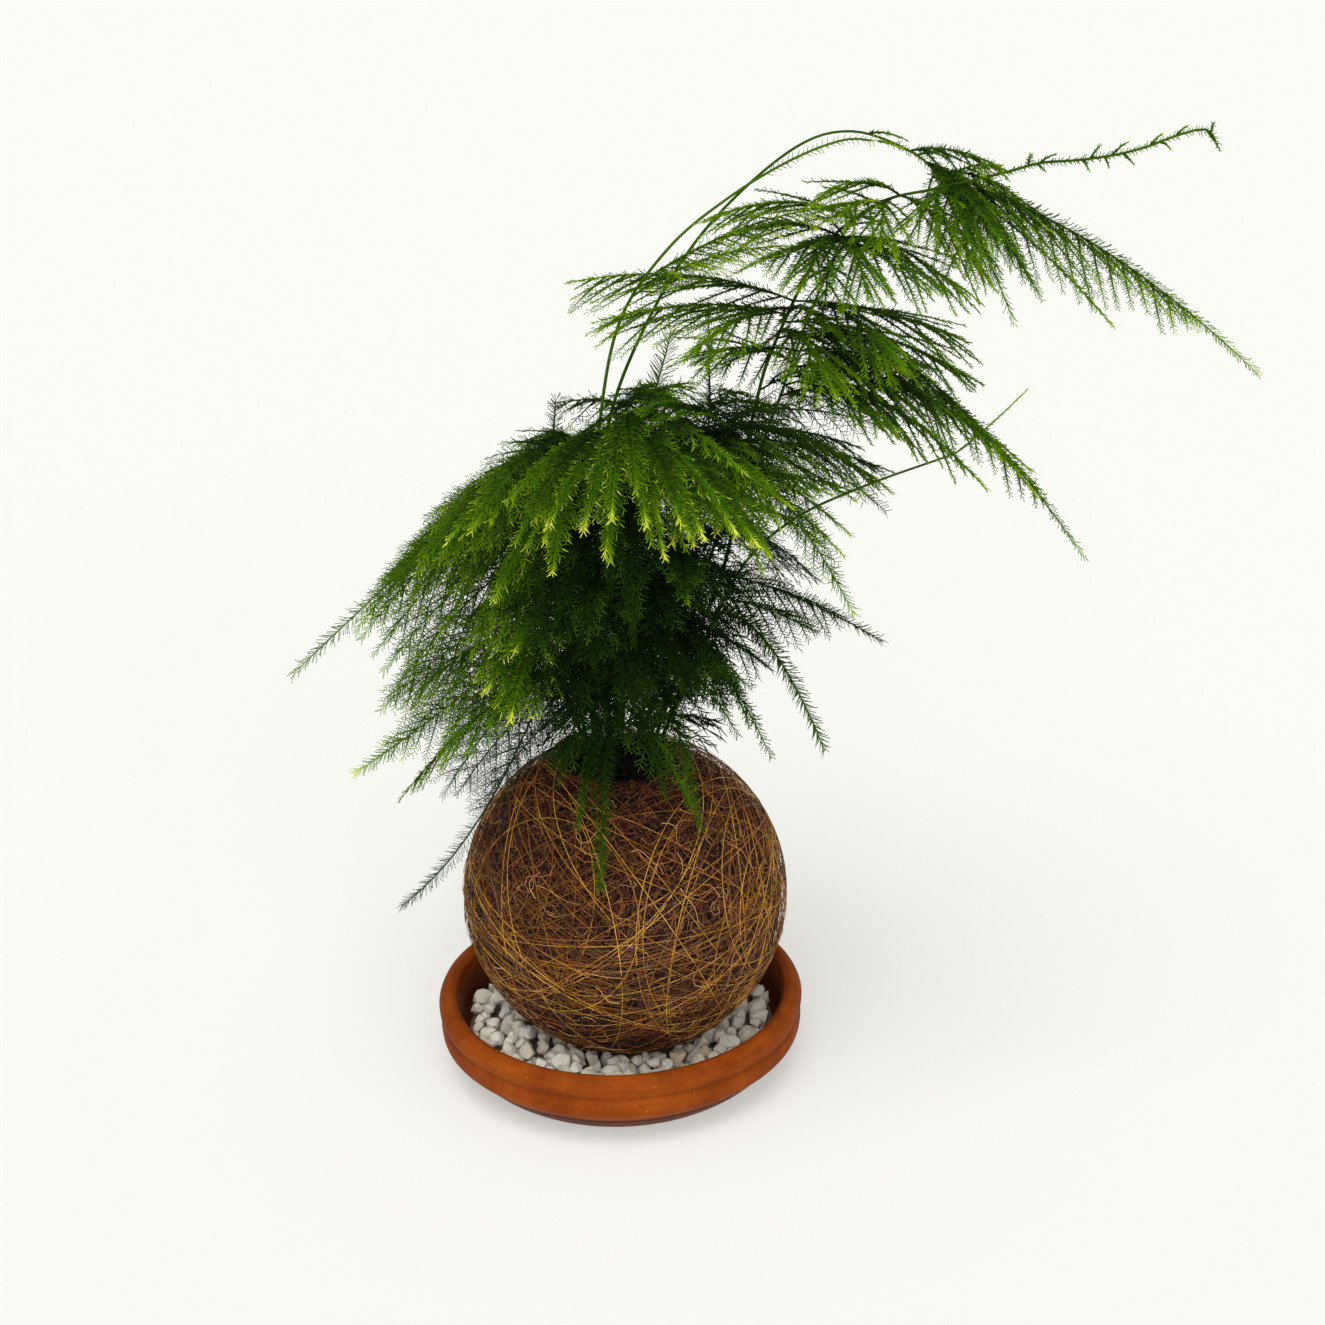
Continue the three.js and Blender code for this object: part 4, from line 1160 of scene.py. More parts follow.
        ((26, 28, 195), (40, 38, 250), (48, 36, 305)),
        (
            Frond(1, (48, 34, 354), -8, 5.6, -60),
            Frond(0.85, (127, 44, 253), 30, 20, 60, droop=0.1),
            Frond(0.7, (84, 88, 196), 32, 36, -10, painted_light=0.7),
            Frond(0.97, (124, 44, 294), 14, 24, 60, droop=0.1),
        ),
        fills=(
            Fill(3, (0.6, 1), (20, 90), (50, 80), (10, 60), 34, painted_light=0.7),
        ),
        coarse=1.3,
        slim=0.8,
        apart=1.3,
    ),
)


@dataclass
class Strands:
    """Curved strands, each at base + reach · k + bend · k² with k from 0 at its root to 1."""

    base: Array
    reach: Array
    bend: Array
    square: Array  # to the plane that each strand branches in
    tone: Array  # at each strand's root and tip
    ash: Array
    glow: Array  # added to the tone towards the tip

    def point(self, which: Array, k: Array) -> Array:
        """Points at fractions k of the strands that are named by number."""
        k = k[..., None]
        return self.base[which] + self.reach[which] * k + self.bend[which] * k**2

    def along(self, which: Array, k: Array) -> Array:
        """Directions of growth at those points."""
        return unit(self.reach[which] + 2 * self.bend[which] * k[..., None])

    def tone_at(self, which: Array, k: Array) -> Array:
        """Tones at those points: root + (tip - root) · k + glow · (share of the last eighth)²."""
        plain = self.tone[which, 0] + (self.tone[which, 1] - self.tone[which, 0]) * k
        return plain + self.glow[which] * np.clip(8 * k - 7, 0, 1) ** 2

    def pick(self, which: Array) -> "Strands":
        """Some of the strands."""
        return replace(self, **{field.name: getattr(self, field.name)[which] for field in fields(self)})

    def lengths(self) -> Array:
        """Works out how long the strands are, over four straight stretches each.

        Returns:
            The length of each.
        """
        k = np.linspace(0, 1, 5)
        corners = self.point(np.arange(len(self.base))[:, None], k[None])
        return np.linalg.norm(np.diff(corners, axis=1), axis=2).sum(axis=1)

    def spots(self, spacing: float, first: float, last: float) -> tuple[Array, Array, Array]:
        """Even spots along all the strands.

        Args:
            spacing: between the spots of a strand.
            first: fraction of the strand where they start.
            last: fraction where they end.

        Returns:
            The strand, the fraction and the running number of each spot on its strand.
        """
        counts = np.maximum(2, (self.lengths() * (last - first) / spacing).astype(int))
        which = np.repeat(np.arange(len(counts)), counts)
        number = np.arange(counts.sum()) - np.repeat(np.cumsum(counts) - counts, counts)
        return which, first + (last - first) * number / (counts[which] - 1), number

    def drawn(self, skin: Skin, radii: tuple[float, float], rings: int, sides: int) -> None:
        """Adds the strands as tubes that run to a point.

        Args:
            skin: the mesh that they are added to.
            radii: the first ring's, and what the rings narrow towards at the tip.
            rings: rings of each tube.
            sides: corners of a ring.
        """
        k = np.linspace(0, 1, rings + 1)
        which = np.arange(len(self.base))[:, None]
        paths = self.point(which, k[None])
        widths = np.broadcast_to(np.interp(k[:-1], [0, 1], radii), (len(self.base), rings))
        points, faces = tubes(paths, self.square, widths, sides)
        tone = per_corner(self.tone_at(which, k[None]), sides)
        ash = np.repeat(self.ash, rings * sides + 1)
        skin.add(points, faces, tone, ash)


@dataclass
class Ribs(Strands):
    """The ribs of fronds, with each frond's shape as its plan gives it.

    Until they are made flat, square holds a level direction across each rib instead.
    """

    tilt: Array  # in radians
    width: Array
    droop: Array
    spread: Array
    tail: Array

    def flat(self) -> "Ribs":
        """The same ribs, squared to their fronds' planes."""
        count = len(self.base)
        return replace(self, square=self.axes(np.arange(count), np.full(count, 0.5))[2])

    def axes(self, which: Array, k: Array) -> tuple[Array, Array, Array]:
        """Directions at points of the ribs.

        Left is level · cos(tilt) + (along × level) · sin(tilt), where level is the rib's own
        level direction made square to its growth.

        Args:
            which: the rib of each point.
            k: the fraction of the rib.

        Returns:
            Along the rib, to its left in the frond's plane, and square to both.
        """
        along = self.along(which, k)
        level = self.square[which]
        level = unit(level - along * (level * along).sum(axis=1, keepdims=True))
        tilt = self.tilt[which][:, None]
        left = level * np.cos(tilt) + np.cross(along, level) * np.sin(tilt)
        return along, left, np.cross(along, left)


@dataclass(frozen=True)
class Foliage:
    """How every stem and frond of the fern grows, in millimetres and degrees."""

    crown: float = 150  # height at which the stems spread
    foot: float = 135.4  # height at which they end in the soil
    curve_steps: int = 40  # points of a stem between two given ones
    stem_radii: tuple[float, float] = (0.95, 0.5)
    stem_sides: int = 6
    stem_step: float = 4
    stem_shades: tuple[float, float] = (0.6, 0.5)  # of the tone at a root, and of what a tip adds
    shaded: float = 215  # height under which the stems are darkest
    shaded_tone: float = 0.03
    fading: float = 110  # how far over it they have their own tone
    end_steps: float = 80  # strands that a wholly leafy stem would have
    end_tone: float = 0.4  # share of the way to the tip's tone where the leafy end starts

    rib_radii: tuple[float, float] = (0.5, 0.28)
    rib_mesh: tuple[int, int] = (12, 4)  # rings and sides
    arch_at: float = 0.45  # share of the straight line to a frond's tip where its arch is added
    shoot_width: float = 7  # a frond narrower than this has needles alone

    spacing: float = 5.6  # between branchlets on one side of a rib
    branched: tuple[float, float] = (0.06, 0.985)  # part of a rib that has branchlets
    spread: tuple[float, float] = (52, 34)  # of a branchlet from the rib, at its root and tip
    spread_scatter: float = 4
    lift_scatter: float = 0.12  # out of the frond's plane, as a share of the way along it
    sweep: float = 0.16
    sag: float = 0.18
    sag_range: tuple[float, float] = (0.6, 1.3)
    opening: tuple[float, float] = (0.45, 2.6)  # share of the width at the root, and its growth
    closing: float = 0.45  # power by which the frond narrows to its tip
    length_range: tuple[float, float] = (0.74, 1.1)
    shortest: float = 3.0  # branchlet
    branchlet_radii: tuple[float, float] = (0.42, 0.24)
    branchlet_mesh: tuple[int, int] = (3, 3)  # rings and sides
    root_shade: float = 0.65  # tone of a branchlet's root against its rib's, painted shade where it leaves the rib
    tip_gain: tuple[float, float] = (0.11, 0.06)  # mean and scatter of what its tip's tone gains
    young: tuple[float, float] = (0.88, 0.12)  # where a rib's young end starts, and its length
    young_gain: float = 0.7  # share of the frond's glow that its young branchlets gain
    branchlet_glow: float = 0.4

    needle: float = 4.1
    needle_range: tuple[float, float] = (0.72, 1.1)
    needle_fade: float = 0.3  # how much shorter they are at a strand's tip
    needle_width: tuple[float, float] = (0.26, 0.17)  # half of it, at the root and at the tip
    needle_spacing: float = 0.72
    needle_lean: float = 58
    needle_close: float = 26  # by which they lean less at a strand's tip
    in_plane: float = 10  # scatter
    off_plane: float = 24
    needle_scatter: float = 0.04  # of their tone
    needle_gain: float = 0.08  # of the tone at their tips
    rib_rows: tuple[float, float] = (0.6, 0.08)  # share of the spacing, and where they start
    shoot_rows: tuple[float, float] = (0.45, 0.06)
    rib_size: float = 1.15  # of a rib's needles against a branchlet's
    tail_size: float = 1.55  # the same on a rib with a long tail
    long_tail: float = 0.085  # share of the rib over which a tail is long
    end_size: float = 0.85

    def stem_line(self, stem: Stem) -> Array:
        """Works out the course of a stem.

        Between two of its given points the line is a cubic that leaves each one along half
        the way from the point before to the point after.

        Args:
            stem: its plan.

        Returns:
            Points from its crown to its end, 1 mm or so apart.
        """
        given = np.array([(*stem.foot, self.crown), *stem.path], float)
        ends = np.array([2 * given[0] - given[1], *given, 2 * given[-1] - given[-2]])
        slopes = (ends[2:] - ends[:-2]) * 0.5
        k = np.linspace(0, 1, self.curve_steps, endpoint=False)[:, None]
        stretches = [
            given[i] * (2 * k**3 - 3 * k**2 + 1)
            + given[i + 1] * (3 * k**2 - 2 * k**3)
            + slopes[i] * (k**3 - 2 * k**2 + k)
            + slopes[i + 1] * (k**3 - k**2)
            for i in range(len(given) - 1)
        ]
        return np.concatenate([*stretches, given[-1:]])

    def ribs(self, stem: Stem, fronds: list[Frond], line: Array) -> Ribs:
        """Works out the ribs of a stem's fronds.

        A rib is the quadratic curve from its base to its tip with its middle point at a
        share of the straight line between them, raised by its arch.

        Args:
            stem: the stem's plan.
            fronds: the fronds' plans.
            line: points of the stem.

        Returns:
            The ribs.
        """
        base = along_line(line, np.array([frond.at for frond in fronds]))
        tip = np.array([frond.tip for frond in fronds], float)
        arch = np.array([frond.arch for frond in fronds], float)
        middle = base + (tip - base) * self.arch_at + UP * arch[:, None]
        chord = tip - base
        green = stem.tone.value
        # each frond's painted shade below 1 and painted light over 1
        painted_light = np.array([frond.painted_light for frond in fronds])
        return Ribs(
            base=base,
            reach=2 * (middle - base),
            bend=tip - 2 * middle + base,
            square=np.stack([-chord[:, 1], chord[:, 0], 0 * chord[:, 0]], axis=1),
            tone=np.stack([green.root * painted_light, green.tip * painted_light], axis=1),
            ash=np.full(len(base), green.ash),
            tilt=np.radians([frond.tilt for frond in fronds]),
            width=np.array([frond.width for frond in fronds], float),
            glow=np.array([frond.glow for frond in fronds]),
            droop=np.array([frond.droop for frond in fronds]),
            spread=np.array([frond.spread for frond in fronds]),
            tail=np.array([frond.tail for frond in fronds]),
        )

    def leafy_end(self, stem: Stem, line: Array) -> Strands:
        """The end of a stem that has needles of its own, as short straight strands.

        Args:
            stem: its plan.
            line: its points.

        Returns:
            The strands.
        """
        steps = max(2, int(self.end_steps * (1 - stem.bare)))
        points = along_line(line, np.linspace(stem.bare, 1, steps + 1))
        green = stem.tone.value
        rise = green.root + (green.tip - green.root) * np.linspace(self.end_tone, 1, steps + 1)
        return Strands(
            base=points[:-1],
            reach=np.diff(points, axis=0),
            bend=np.zeros((steps, 3)),
            square=np.tile([0.0, 1.0, 0.0], (steps, 1)),
            tone=np.stack([rise[:-1], rise[1:]], axis=1),
            ash=np.full(steps, green.ash),
            glow=np.zeros(steps),
        )

    def branchlets(self, ribs: Ribs, stem: Stem, rng: np.random.Generator) -> Strands:
        """Grows branchlets alternately on both sides of ribs.

        A branchlet leaves at the spread's angle, hangs by the droop, which is less on a steep
        rib, bends forwards by the sweep and down by the sag, and is
        width · min(1, opening's share + growth · k) · (1 - k / (1 - tail))^closing long.

        Args:
            ribs: the ribs.
            stem: the stem's plan.
            rng: the random draws.

        Returns:
            The branchlets that are long enough.
        """
        which, k, number = ribs.spots(self.spacing * stem.apart / 2, *self.branched)
        count = len(which)
        along, left, face = ribs.axes(which, k)
        side = np.where(number % 2 == 0, 1.0, -1.0)
        open_angle = np.interp(k, [0, 1], self.spread) * ribs.spread[which]
        angle = np.radians(open_angle + rng.normal(0, self.spread_scatter, count))
        lift = rng.normal(0, self.lift_scatter, count)
        out = along * np.cos(angle)[:, None] + left * (side * np.sin(angle))[:, None]
        hang = ribs.droop[which] * (1 - along[:, 2] ** 2)
        out = unit(out + face * lift[:, None] - UP * hang[:, None])
        left_over = np.clip(1 - k / (1 - ribs.tail[which]), 0, 1)
        grown = np.minimum(1, self.opening[0] + self.opening[1] * k) * left_over**self.closing
        length = ribs.width[which] * grown * rng.uniform(*self.length_range, count)
        sag = self.sag * rng.uniform(*self.sag_range, count)
        bend = along * self.sweep - UP * sag[:, None]
        root = ribs.tone_at(which, k)
        young = ribs.glow[which] * np.clip((k - self.young[0]) / self.young[1], 0, 1)
        tips = (ribs.tone[which, 1] + root) / 2 + rng.normal(*self.tip_gain, count)
        grown_out = Strands(
            base=ribs.point(which, k),
            reach=out * length[:, None],
            bend=bend * length[:, None],
            square=face,
            tone=np.stack([root * self.root_shade, tips + self.young_gain * young], axis=1),
            ash=ribs.ash[which],
            glow=ribs.glow[which] * self.branchlet_glow,
        )
        return grown_out.pick(length > self.shortest)

    def bristle(self, skin: Skin, strands: Strands, rng: np.random.Generator, size: Array | float,
                stem: Stem, spacing: float = 1.0, start: float = 0.03) -> None:
        """Adds needles alternately on both sides of strands.

        A needle runs along · cos(lean) + (across · cos(turn) + square · sin(turn)) · sin(lean).

        Args:
            skin: the mesh that they are added to.
            strands: what they grow from.
            rng: the random draws.
            size: their length as a share of a plain needle's, for all or for each strand.
            stem: the stem, which says how coarse and slim they are.
            spacing: as a share of the plain one.
            start: fraction of the strand where they start.
        """
        which, k, number = strands.spots(self.needle_spacing * spacing * stem.coarse, start, 1.0)
        count = len(which)
        along = strands.along(which, k)
        across = unit(np.cross(strands.square[which], along))
        lift = np.cross(along, across)
        turn = np.where(number % 2 == 0, 0, np.pi) + np.radians(rng.normal(0, self.off_plane, count))
        lean = self.needle_lean + rng.normal(0, self.in_plane, count) - self.needle_close * k**4
        lean = np.radians(lean)
        way = along * np.cos(lean)[:, None] + np.sin(lean)[:, None] * (
            across * np.cos(turn)[:, None] + lift * np.sin(turn)[:, None]
        )
        share = np.broadcast_to(size, len(strands.base))[which] * stem.coarse
        length = share * self.needle * rng.uniform(*self.needle_range, count)
        length = length * (1 - self.needle_fade * k**3)
        thick = (1 + stem.coarse) / 2 * stem.slim
        wide = (self.needle_width[0] * thick, self.needle_width[1] * thick)
        points, faces = blades(strands.point(which, k), way * length[:, None], lift, wide)
        tone = strands.tone_at(which, k) + rng.normal(0, self.needle_scatter, count)
        tones = (tone[:, None] + [0, 0, self.needle_gain, self.needle_gain]).ravel()
        skin.add(points, faces, tones, np.repeat(strands.ash[which], 4))

    def stalk(self, skin: Skin, stem: Stem, line: Array) -> None:
        """Adds the stem's own tube, from its foot in the soil to its end.

        Args:
            skin: the mesh that it is added to.
            stem: its plan.
            line: its points above the crown.
        """
        steps = int(np.linalg.norm(np.diff(line, axis=0), axis=1).sum() / self.stem_step)
        path = along_line(line, np.linspace(0, 1, steps))
        path = np.concatenate([[(*stem.foot, self.foot)], path])[None]
        radii = np.linspace(*self.stem_radii, path.shape[1] - 1)[None]
        points, faces = tubes(path, np.array([[0.0, 1.0, 0.0]]), radii, self.stem_sides)
        green = stem.tone.value
        own = green.root * self.stem_shades[0] + (green.tip - green.root) * self.stem_shades[1]
        rise = np.clip((points[:, 2] - self.shaded) / self.fading, 0, 1)
        skin.add(points, faces, self.shaded_tone + rise * own, green.ash / 2)

    def grow(self, stem: Stem, seed: int, material: bpy.types.Material) -> bpy.types.Object:
        """Grows one leafy stem.

        Args:
            stem: its plan.
            seed: of its random draws.
            material: its finish.

        Returns:
            The piece that stands for the stem's node.
        """
        rng = np.random.default_rng(seed)
        skin = Skin()
        line = self.stem_line(stem)
        self.stalk(skin, stem, line)
        fronds = list(stem.fronds)
        for fill in stem.fills:
            fronds += fill.fronds(line, rng)
        ribs = self.ribs(stem, fronds, line)
        ribs.drawn(skin, self.rib_radii, *self.rib_mesh)
        leafy = ribs.width >= self.shoot_width
        if leafy.any():
            branchlets = self.branchlets(ribs.pick(leafy), stem, rng)
            thick, thin = self.branchlet_radii
            branchlets.drawn(skin, (thick * stem.slim, thin * stem.slim), *self.branchlet_mesh)
            self.bristle(skin, branchlets, rng, 1, stem)
            size = np.where(ribs.tail[leafy] > self.long_tail, self.tail_size, self.rib_size)
            self.bristle(skin, ribs.pick(leafy).flat(), rng, size, stem, *self.rib_rows)
        if not leafy.all():
            shoots = ribs.pick(~leafy).flat()
            self.bristle(skin, shoots, rng, shoots.width / self.needle, stem, *self.shoot_rows)
        if stem.bare < 1:
            self.bristle(skin, self.leafy_end(stem, line), rng, self.end_size, stem)
        piece = skin.piece(f"{stem.name}_fine", material, False)
        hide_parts(stem.name)
        return piece


# Ball


@dataclass(frozen=True)
class Ball:
    """The coir ball: a felted mat, its curled fibres, and the thread wound round it."""

    mat_radius: float = 72.1
    wrap: float = 5.0
    seat: float = 16.4  # height of its flat underside
    seat_radius: float = 12.0
    opening: float = 23.0
    mat_segments: int = 88
    mat_steps: tuple[int, int] = (60, 16)  # of its outline, outside and inside
    mat_tone: float = 0.3
    mat_lumps: tuple[tuple[Ripple, float], ...] = ((Ripple(3, 16), 0.45), (Ripple(4, 5), 0.25))
    even: float = 1.0  # deeper in the mat than this, or this near its seat, it has no lumps

    fibres: int = 3500
    fibre_seed: int = 21
    fibre_steps: int = 6
    fibre_length: tuple[float, float] = (9, 26)
    fibre_radius: tuple[float, float] = (0.11, 0.19)
    fibre_height: tuple[float, float] = (72.7, 74.8)
    fibre_swell: tuple[float, float] = (-0.4, 1.0)  # of its middle over its ends
    fibre_gamma: tuple[float, float] = (1.5, 0.24)  # shape and scale of the draws of its tone
    fibre_palest: float = 0.95
    curl: float = 0.5  # spread of a fibre's turn at each step, in radians
    swing: float = 2.2  # most that the turn swings by, as a share of the curl
    swing_rate: float = 1.1  # radians of the swing at each step

    strays: int = 70
    stray_length: tuple[float, float] = (12, 40)
    stray_radius: tuple[float, float] = (0.08, 0.15)
    stray_tone: tuple[float, float] = (0.5, 1)
    stray_height: float = 74.6
    stray_gamma: tuple[float, float] = (1.2, 1.6)  # shape and scale of how far its end stands off
    stray_most: float = 8.0

    winding_seed: int = 5
    loop_steps: int = 56
    thread_radius: tuple[float, float] = (0.13, 0.21)
    thread_height: tuple[float, float] = (73.6, 74.9)
    thread_tone: tuple[float, float] = (0.5, 0.24)  # mean and scatter
    strand_sides: int = 3
    strand_taper: float = 0.6  # radius at a strand's end against its start
    strand_clear: float = 0.3  # over the seat
    crown_angle: float = 19.5  # kept clear round the stems, in degrees from the top

    crossing: int = 88  # circles that cross in front
    bundles: int = 24  # of those circles
    crossing_tilt: tuple[float, float] = (6, 46)  # in degrees, as all tilts are
    crossing_heading: float = 0.55  # scatter about the front and the back, in radians
    crossing_offset: tuple[float, float] = (-0.24, 0.5)
    bundle_scatter: tuple[float, float, float] = (3.5, 0.07, 0.05)  # of tilt, heading and offset
    steep: int = 20
    steep_tilt: tuple[float, float] = (58, 70)
    steep_offset: float = 0.05  # scatter
    upright: int = 84
    upright_tilt: tuple[float, float] = (68, 90)
    upright_heading: float = 0.5  # scatter
    upright_offset: tuple[float, float] = (0.38, 0.93)

    def profile(self) -> Array:
        """Draws the mat's outline: arcs of two radii, joined at the flat seat and at the opening.

        Returns:
            Radius and height of its points.
        """
        middle = BALL_CENTRE[2]
        inner = self.mat_radius - self.wrap
        low = np.arcsin((self.seat - middle) / self.mat_radius)
        high = np.arccos(self.opening / self.mat_radius)
        outside = np.linspace(low, high, self.mat_steps[0])
        low_inner = np.arcsin((self.seat + self.wrap - middle) / inner)
        high_inner = np.arccos(self.opening / inner)
        inside = np.linspace(high_inner, low_inner, self.mat_steps[1])
        return np.concatenate(
            [
                [[0, self.seat], [self.seat_radius, self.seat]],
                np.stack([np.cos(outside), np.sin(outside)], axis=1) * self.mat_radius + [0, middle],
                np.stack([np.cos(inside), np.sin(inside)], axis=1) * inner + [0, middle],
                [[0, self.seat + self.wrap]],
            ]
        )

    def mat(self, material: bpy.types.Material) -> bpy.types.Object:
        """Makes the felted mat, its outside in soft lumps.

        Args:
            material: its finish.

        Returns:
            The piece.
        """
        points, faces = revolve(self.profile(), self.mat_segments)
        middle = [0, 0, BALL_CENTRE[2]]
        off = np.linalg.norm(points - middle, axis=1)
        lumps = sum(ripple.at(points) * height for ripple, height in self.mat_lumps)
        outer = (off > self.mat_radius - self.even) & (points[:, 2] > self.seat + self.even)
        points = points + unit(points - middle) * (lumps * outer)[:, None]
        skin = Skin()
        skin.add(points + [BALL_CENTRE[0], BALL_CENTRE[1], 0], faces, self.mat_tone)
        piece = skin.piece("coir_mat", material, True)
        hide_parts("coir_wrap")
        return piece

    def wander(self, rng: np.random.Generator, count: int, length: tuple[float, float]) -> Array:
        """Draws curling paths over a ball of radius 1.

        Each step follows a great circle and then turns by the fibre's curl, which swings as
        a sine along it.

        Args:
            rng: the random draws.
            count: how many paths are drawn.
            length: range of their lengths in millimetres.

        Returns:
            The paths that are clear of the crown.
        """
        spot = unit(rng.normal(size=(count, 3)))
        way = unit(np.cross(spot, rng.normal(size=(count, 3))))
        step = rng.uniform(*length, (count, 1)) / self.mat_radius / self.fibre_steps
        turn = rng.normal(0, self.curl, (count, 1))
        swing = rng.uniform(0, self.swing * self.curl, (count, 1))
        start = rng.uniform(0, FULL_TURN, (count, 1))
        path = [spot]
        for number in range(self.fibre_steps):
            spot, way = (
                spot * np.cos(step) + way * np.sin(step),
                way * np.cos(step) - spot * np.sin(step),
            )
            angle = turn + swing * np.sin(start + number * self.swing_rate)
            way = way * np.cos(angle) + np.cross(spot, way) * np.sin(angle)
            path.append(spot)
        paths = np.stack(path, axis=1)
        return paths[self.clear_of_crown(paths)]

    def clear_of_crown(self, paths: Array) -> Array:
        """Which paths over the ball stay out of the opening round the stems."""
        return paths[..., 2].max(axis=1) < np.cos(np.radians(self.crown_angle))

    def strands(self, skin: Skin, paths: Array, height: Array, radii: Array, tone: Array) -> None:
        """Adds paths over the ball as tubes, kept above its seat.

        Args:
            skin: the mesh that they are added to.
            paths: the paths over a ball of radius 1.
            height: their distance from the ball's middle, for each or for each centre.
            radii: the radius of each.
            tone: the tone of each.
        """
        count, centres, _ = paths.shape
        lines = paths * (height + np.zeros((count, centres)))[..., None] + BALL_CENTRE
        lines[..., 2] = np.maximum(lines[..., 2], self.seat + self.strand_clear)
        across = unit(paths[:, centres // 2])
        taper = np.linspace(1, self.strand_taper, centres - 1)
        points, faces = tubes(lines, across, radii[:, None] * taper, self.strand_sides)
        tones = per_corner(np.repeat(tone[:, None], centres, axis=1), self.strand_sides)
        skin.add(points, faces, tones)

    def fibre_coat(self, material: bpy.types.Material) -> bpy.types.Object:
        """Makes the curled fibres over the mat, a few of them pale and loose on the thread.

        Args:
            material: their finish.

        Returns:
            The piece.
        """
        rng = np.random.default_rng(self.fibre_seed)
        skin = Skin()
        paths = self.wander(rng, self.fibres, self.fibre_length)
        count = len(paths)
        arc = np.sin(np.linspace(0, np.pi, paths.shape[1]))
        height = rng.uniform(*self.fibre_height, (count, 1))
        height = height + rng.uniform(*self.fibre_swell, (count, 1)) * arc
        tone = np.clip(rng.gamma(*self.fibre_gamma, count), 0, self.fibre_palest)
        self.strands(skin, paths, height, rng.uniform(*self.fibre_radius, count), tone)
        loose = self.wander(rng, self.strays, self.stray_length)
        count = len(loose)
        lift = np.linspace(0, 1, loose.shape[1]) ** 2 * rng.gamma(*self.stray_gamma, (count, 1))
        height = self.stray_height + np.minimum(lift, self.stray_most)
        tone = rng.uniform(*self.stray_tone, count)
        self.strands(skin, loose, height, rng.uniform(*self.stray_radius, count), tone)
        piece = skin.piece("coir_fibres", material, False)
        return piece

    def circles(self, tilt: Array, heading: Array, offset: Array) -> Array:
        """Draws circles on a ball of radius 1.

        A circle is offset · normal + root(1 - offset²) · (cos a · level + sin a · slope).

        Args:
            tilt: from level, in radians.
            heading: towards which each is tilted, in radians.
            offset: of each one's plane from the ball's middle.

        Returns:
            The circles that are clear of the crown.
        """
        level = np.stack([-np.sin(heading), np.cos(heading), 0 * heading], axis=1)
        slope = np.stack(
            [np.cos(heading) * np.cos(tilt), np.sin(heading) * np.cos(tilt), np.sin(tilt)], axis=1
        )
        angle = np.linspace(0, FULL_TURN, self.loop_steps + 1)[:, None]
        ring = np.cos(angle) * level[:, None] + np.sin(angle) * slope[:, None]
        normal = np.cross(slope, level)
        paths = np.sqrt(1 - offset**2)[:, None, None] * ring + (offset[:, None] * normal)[:, None]
        return paths[self.clear_of_crown(paths)]

    def crossing_circles(self, rng: np.random.Generator) -> Array:
        """Draws the circles that cross in front, each near the middle of its bundle.

        Args:
            rng: the random draws.

        Returns:
            The circles.
        """
        bundle = rng.integers(0, self.bundles, self.crossing)
        tilt_scatter, heading_scatter, offset_scatter = self.bundle_scatter
        tilt = rng.uniform(*self.crossing_tilt, self.bundles)[bundle]
        tilt = tilt + rng.normal(0, tilt_scatter, self.crossing)
        heading = rng.choice([0, np.pi], self.bundles)
        heading = (heading + rng.normal(0, self.crossing_heading, self.bundles))[bundle]
        heading = heading + rng.normal(0, heading_scatter, self.crossing)
        offset = rng.uniform(*self.crossing_offset, self.bundles)[bundle]
        offset = offset + rng.normal(0, offset_scatter, self.crossing)
        return self.circles(np.radians(tilt), heading, offset)

    def winding(self, material: bpy.types.Material) -> bpy.types.Object:
        """Makes the thread: circles that cross in front, and steep ones down both sides.

        Args:
            material: its finish.

        Returns:
            The piece.
        """
        rng = np.random.default_rng(self.winding_seed)
        crossing = self.crossing_circles(rng)
        steep = self.circles(
            np.radians(rng.uniform(*self.steep_tilt, self.steep)),
            rng.uniform(0, FULL_TURN, self.steep),
            rng.normal(0, self.steep_offset, self.steep),
        )
        upright = self.circles(
            np.radians(rng.uniform(*self.upright_tilt, self.upright)),
            rng.choice([0, np.pi], self.upright) + rng.normal(0, self.upright_heading, self.upright),
            rng.choice([-1, 1], self.upright) * rng.uniform(*self.upright_offset, self.upright),
        )
        skin = Skin()
        for paths in (steep, upright, crossing):
            count = len(paths)
            height = rng.uniform(*self.thread_height, (count, 1))
            tone = np.clip(rng.normal(*self.thread_tone, count), 0, 1)
            self.strands(skin, paths, height, rng.uniform(*self.thread_radius, count), tone)
        piece = skin.piece("thread_winding", material, False)
        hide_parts("binding_thread")
        return piece


# Chips


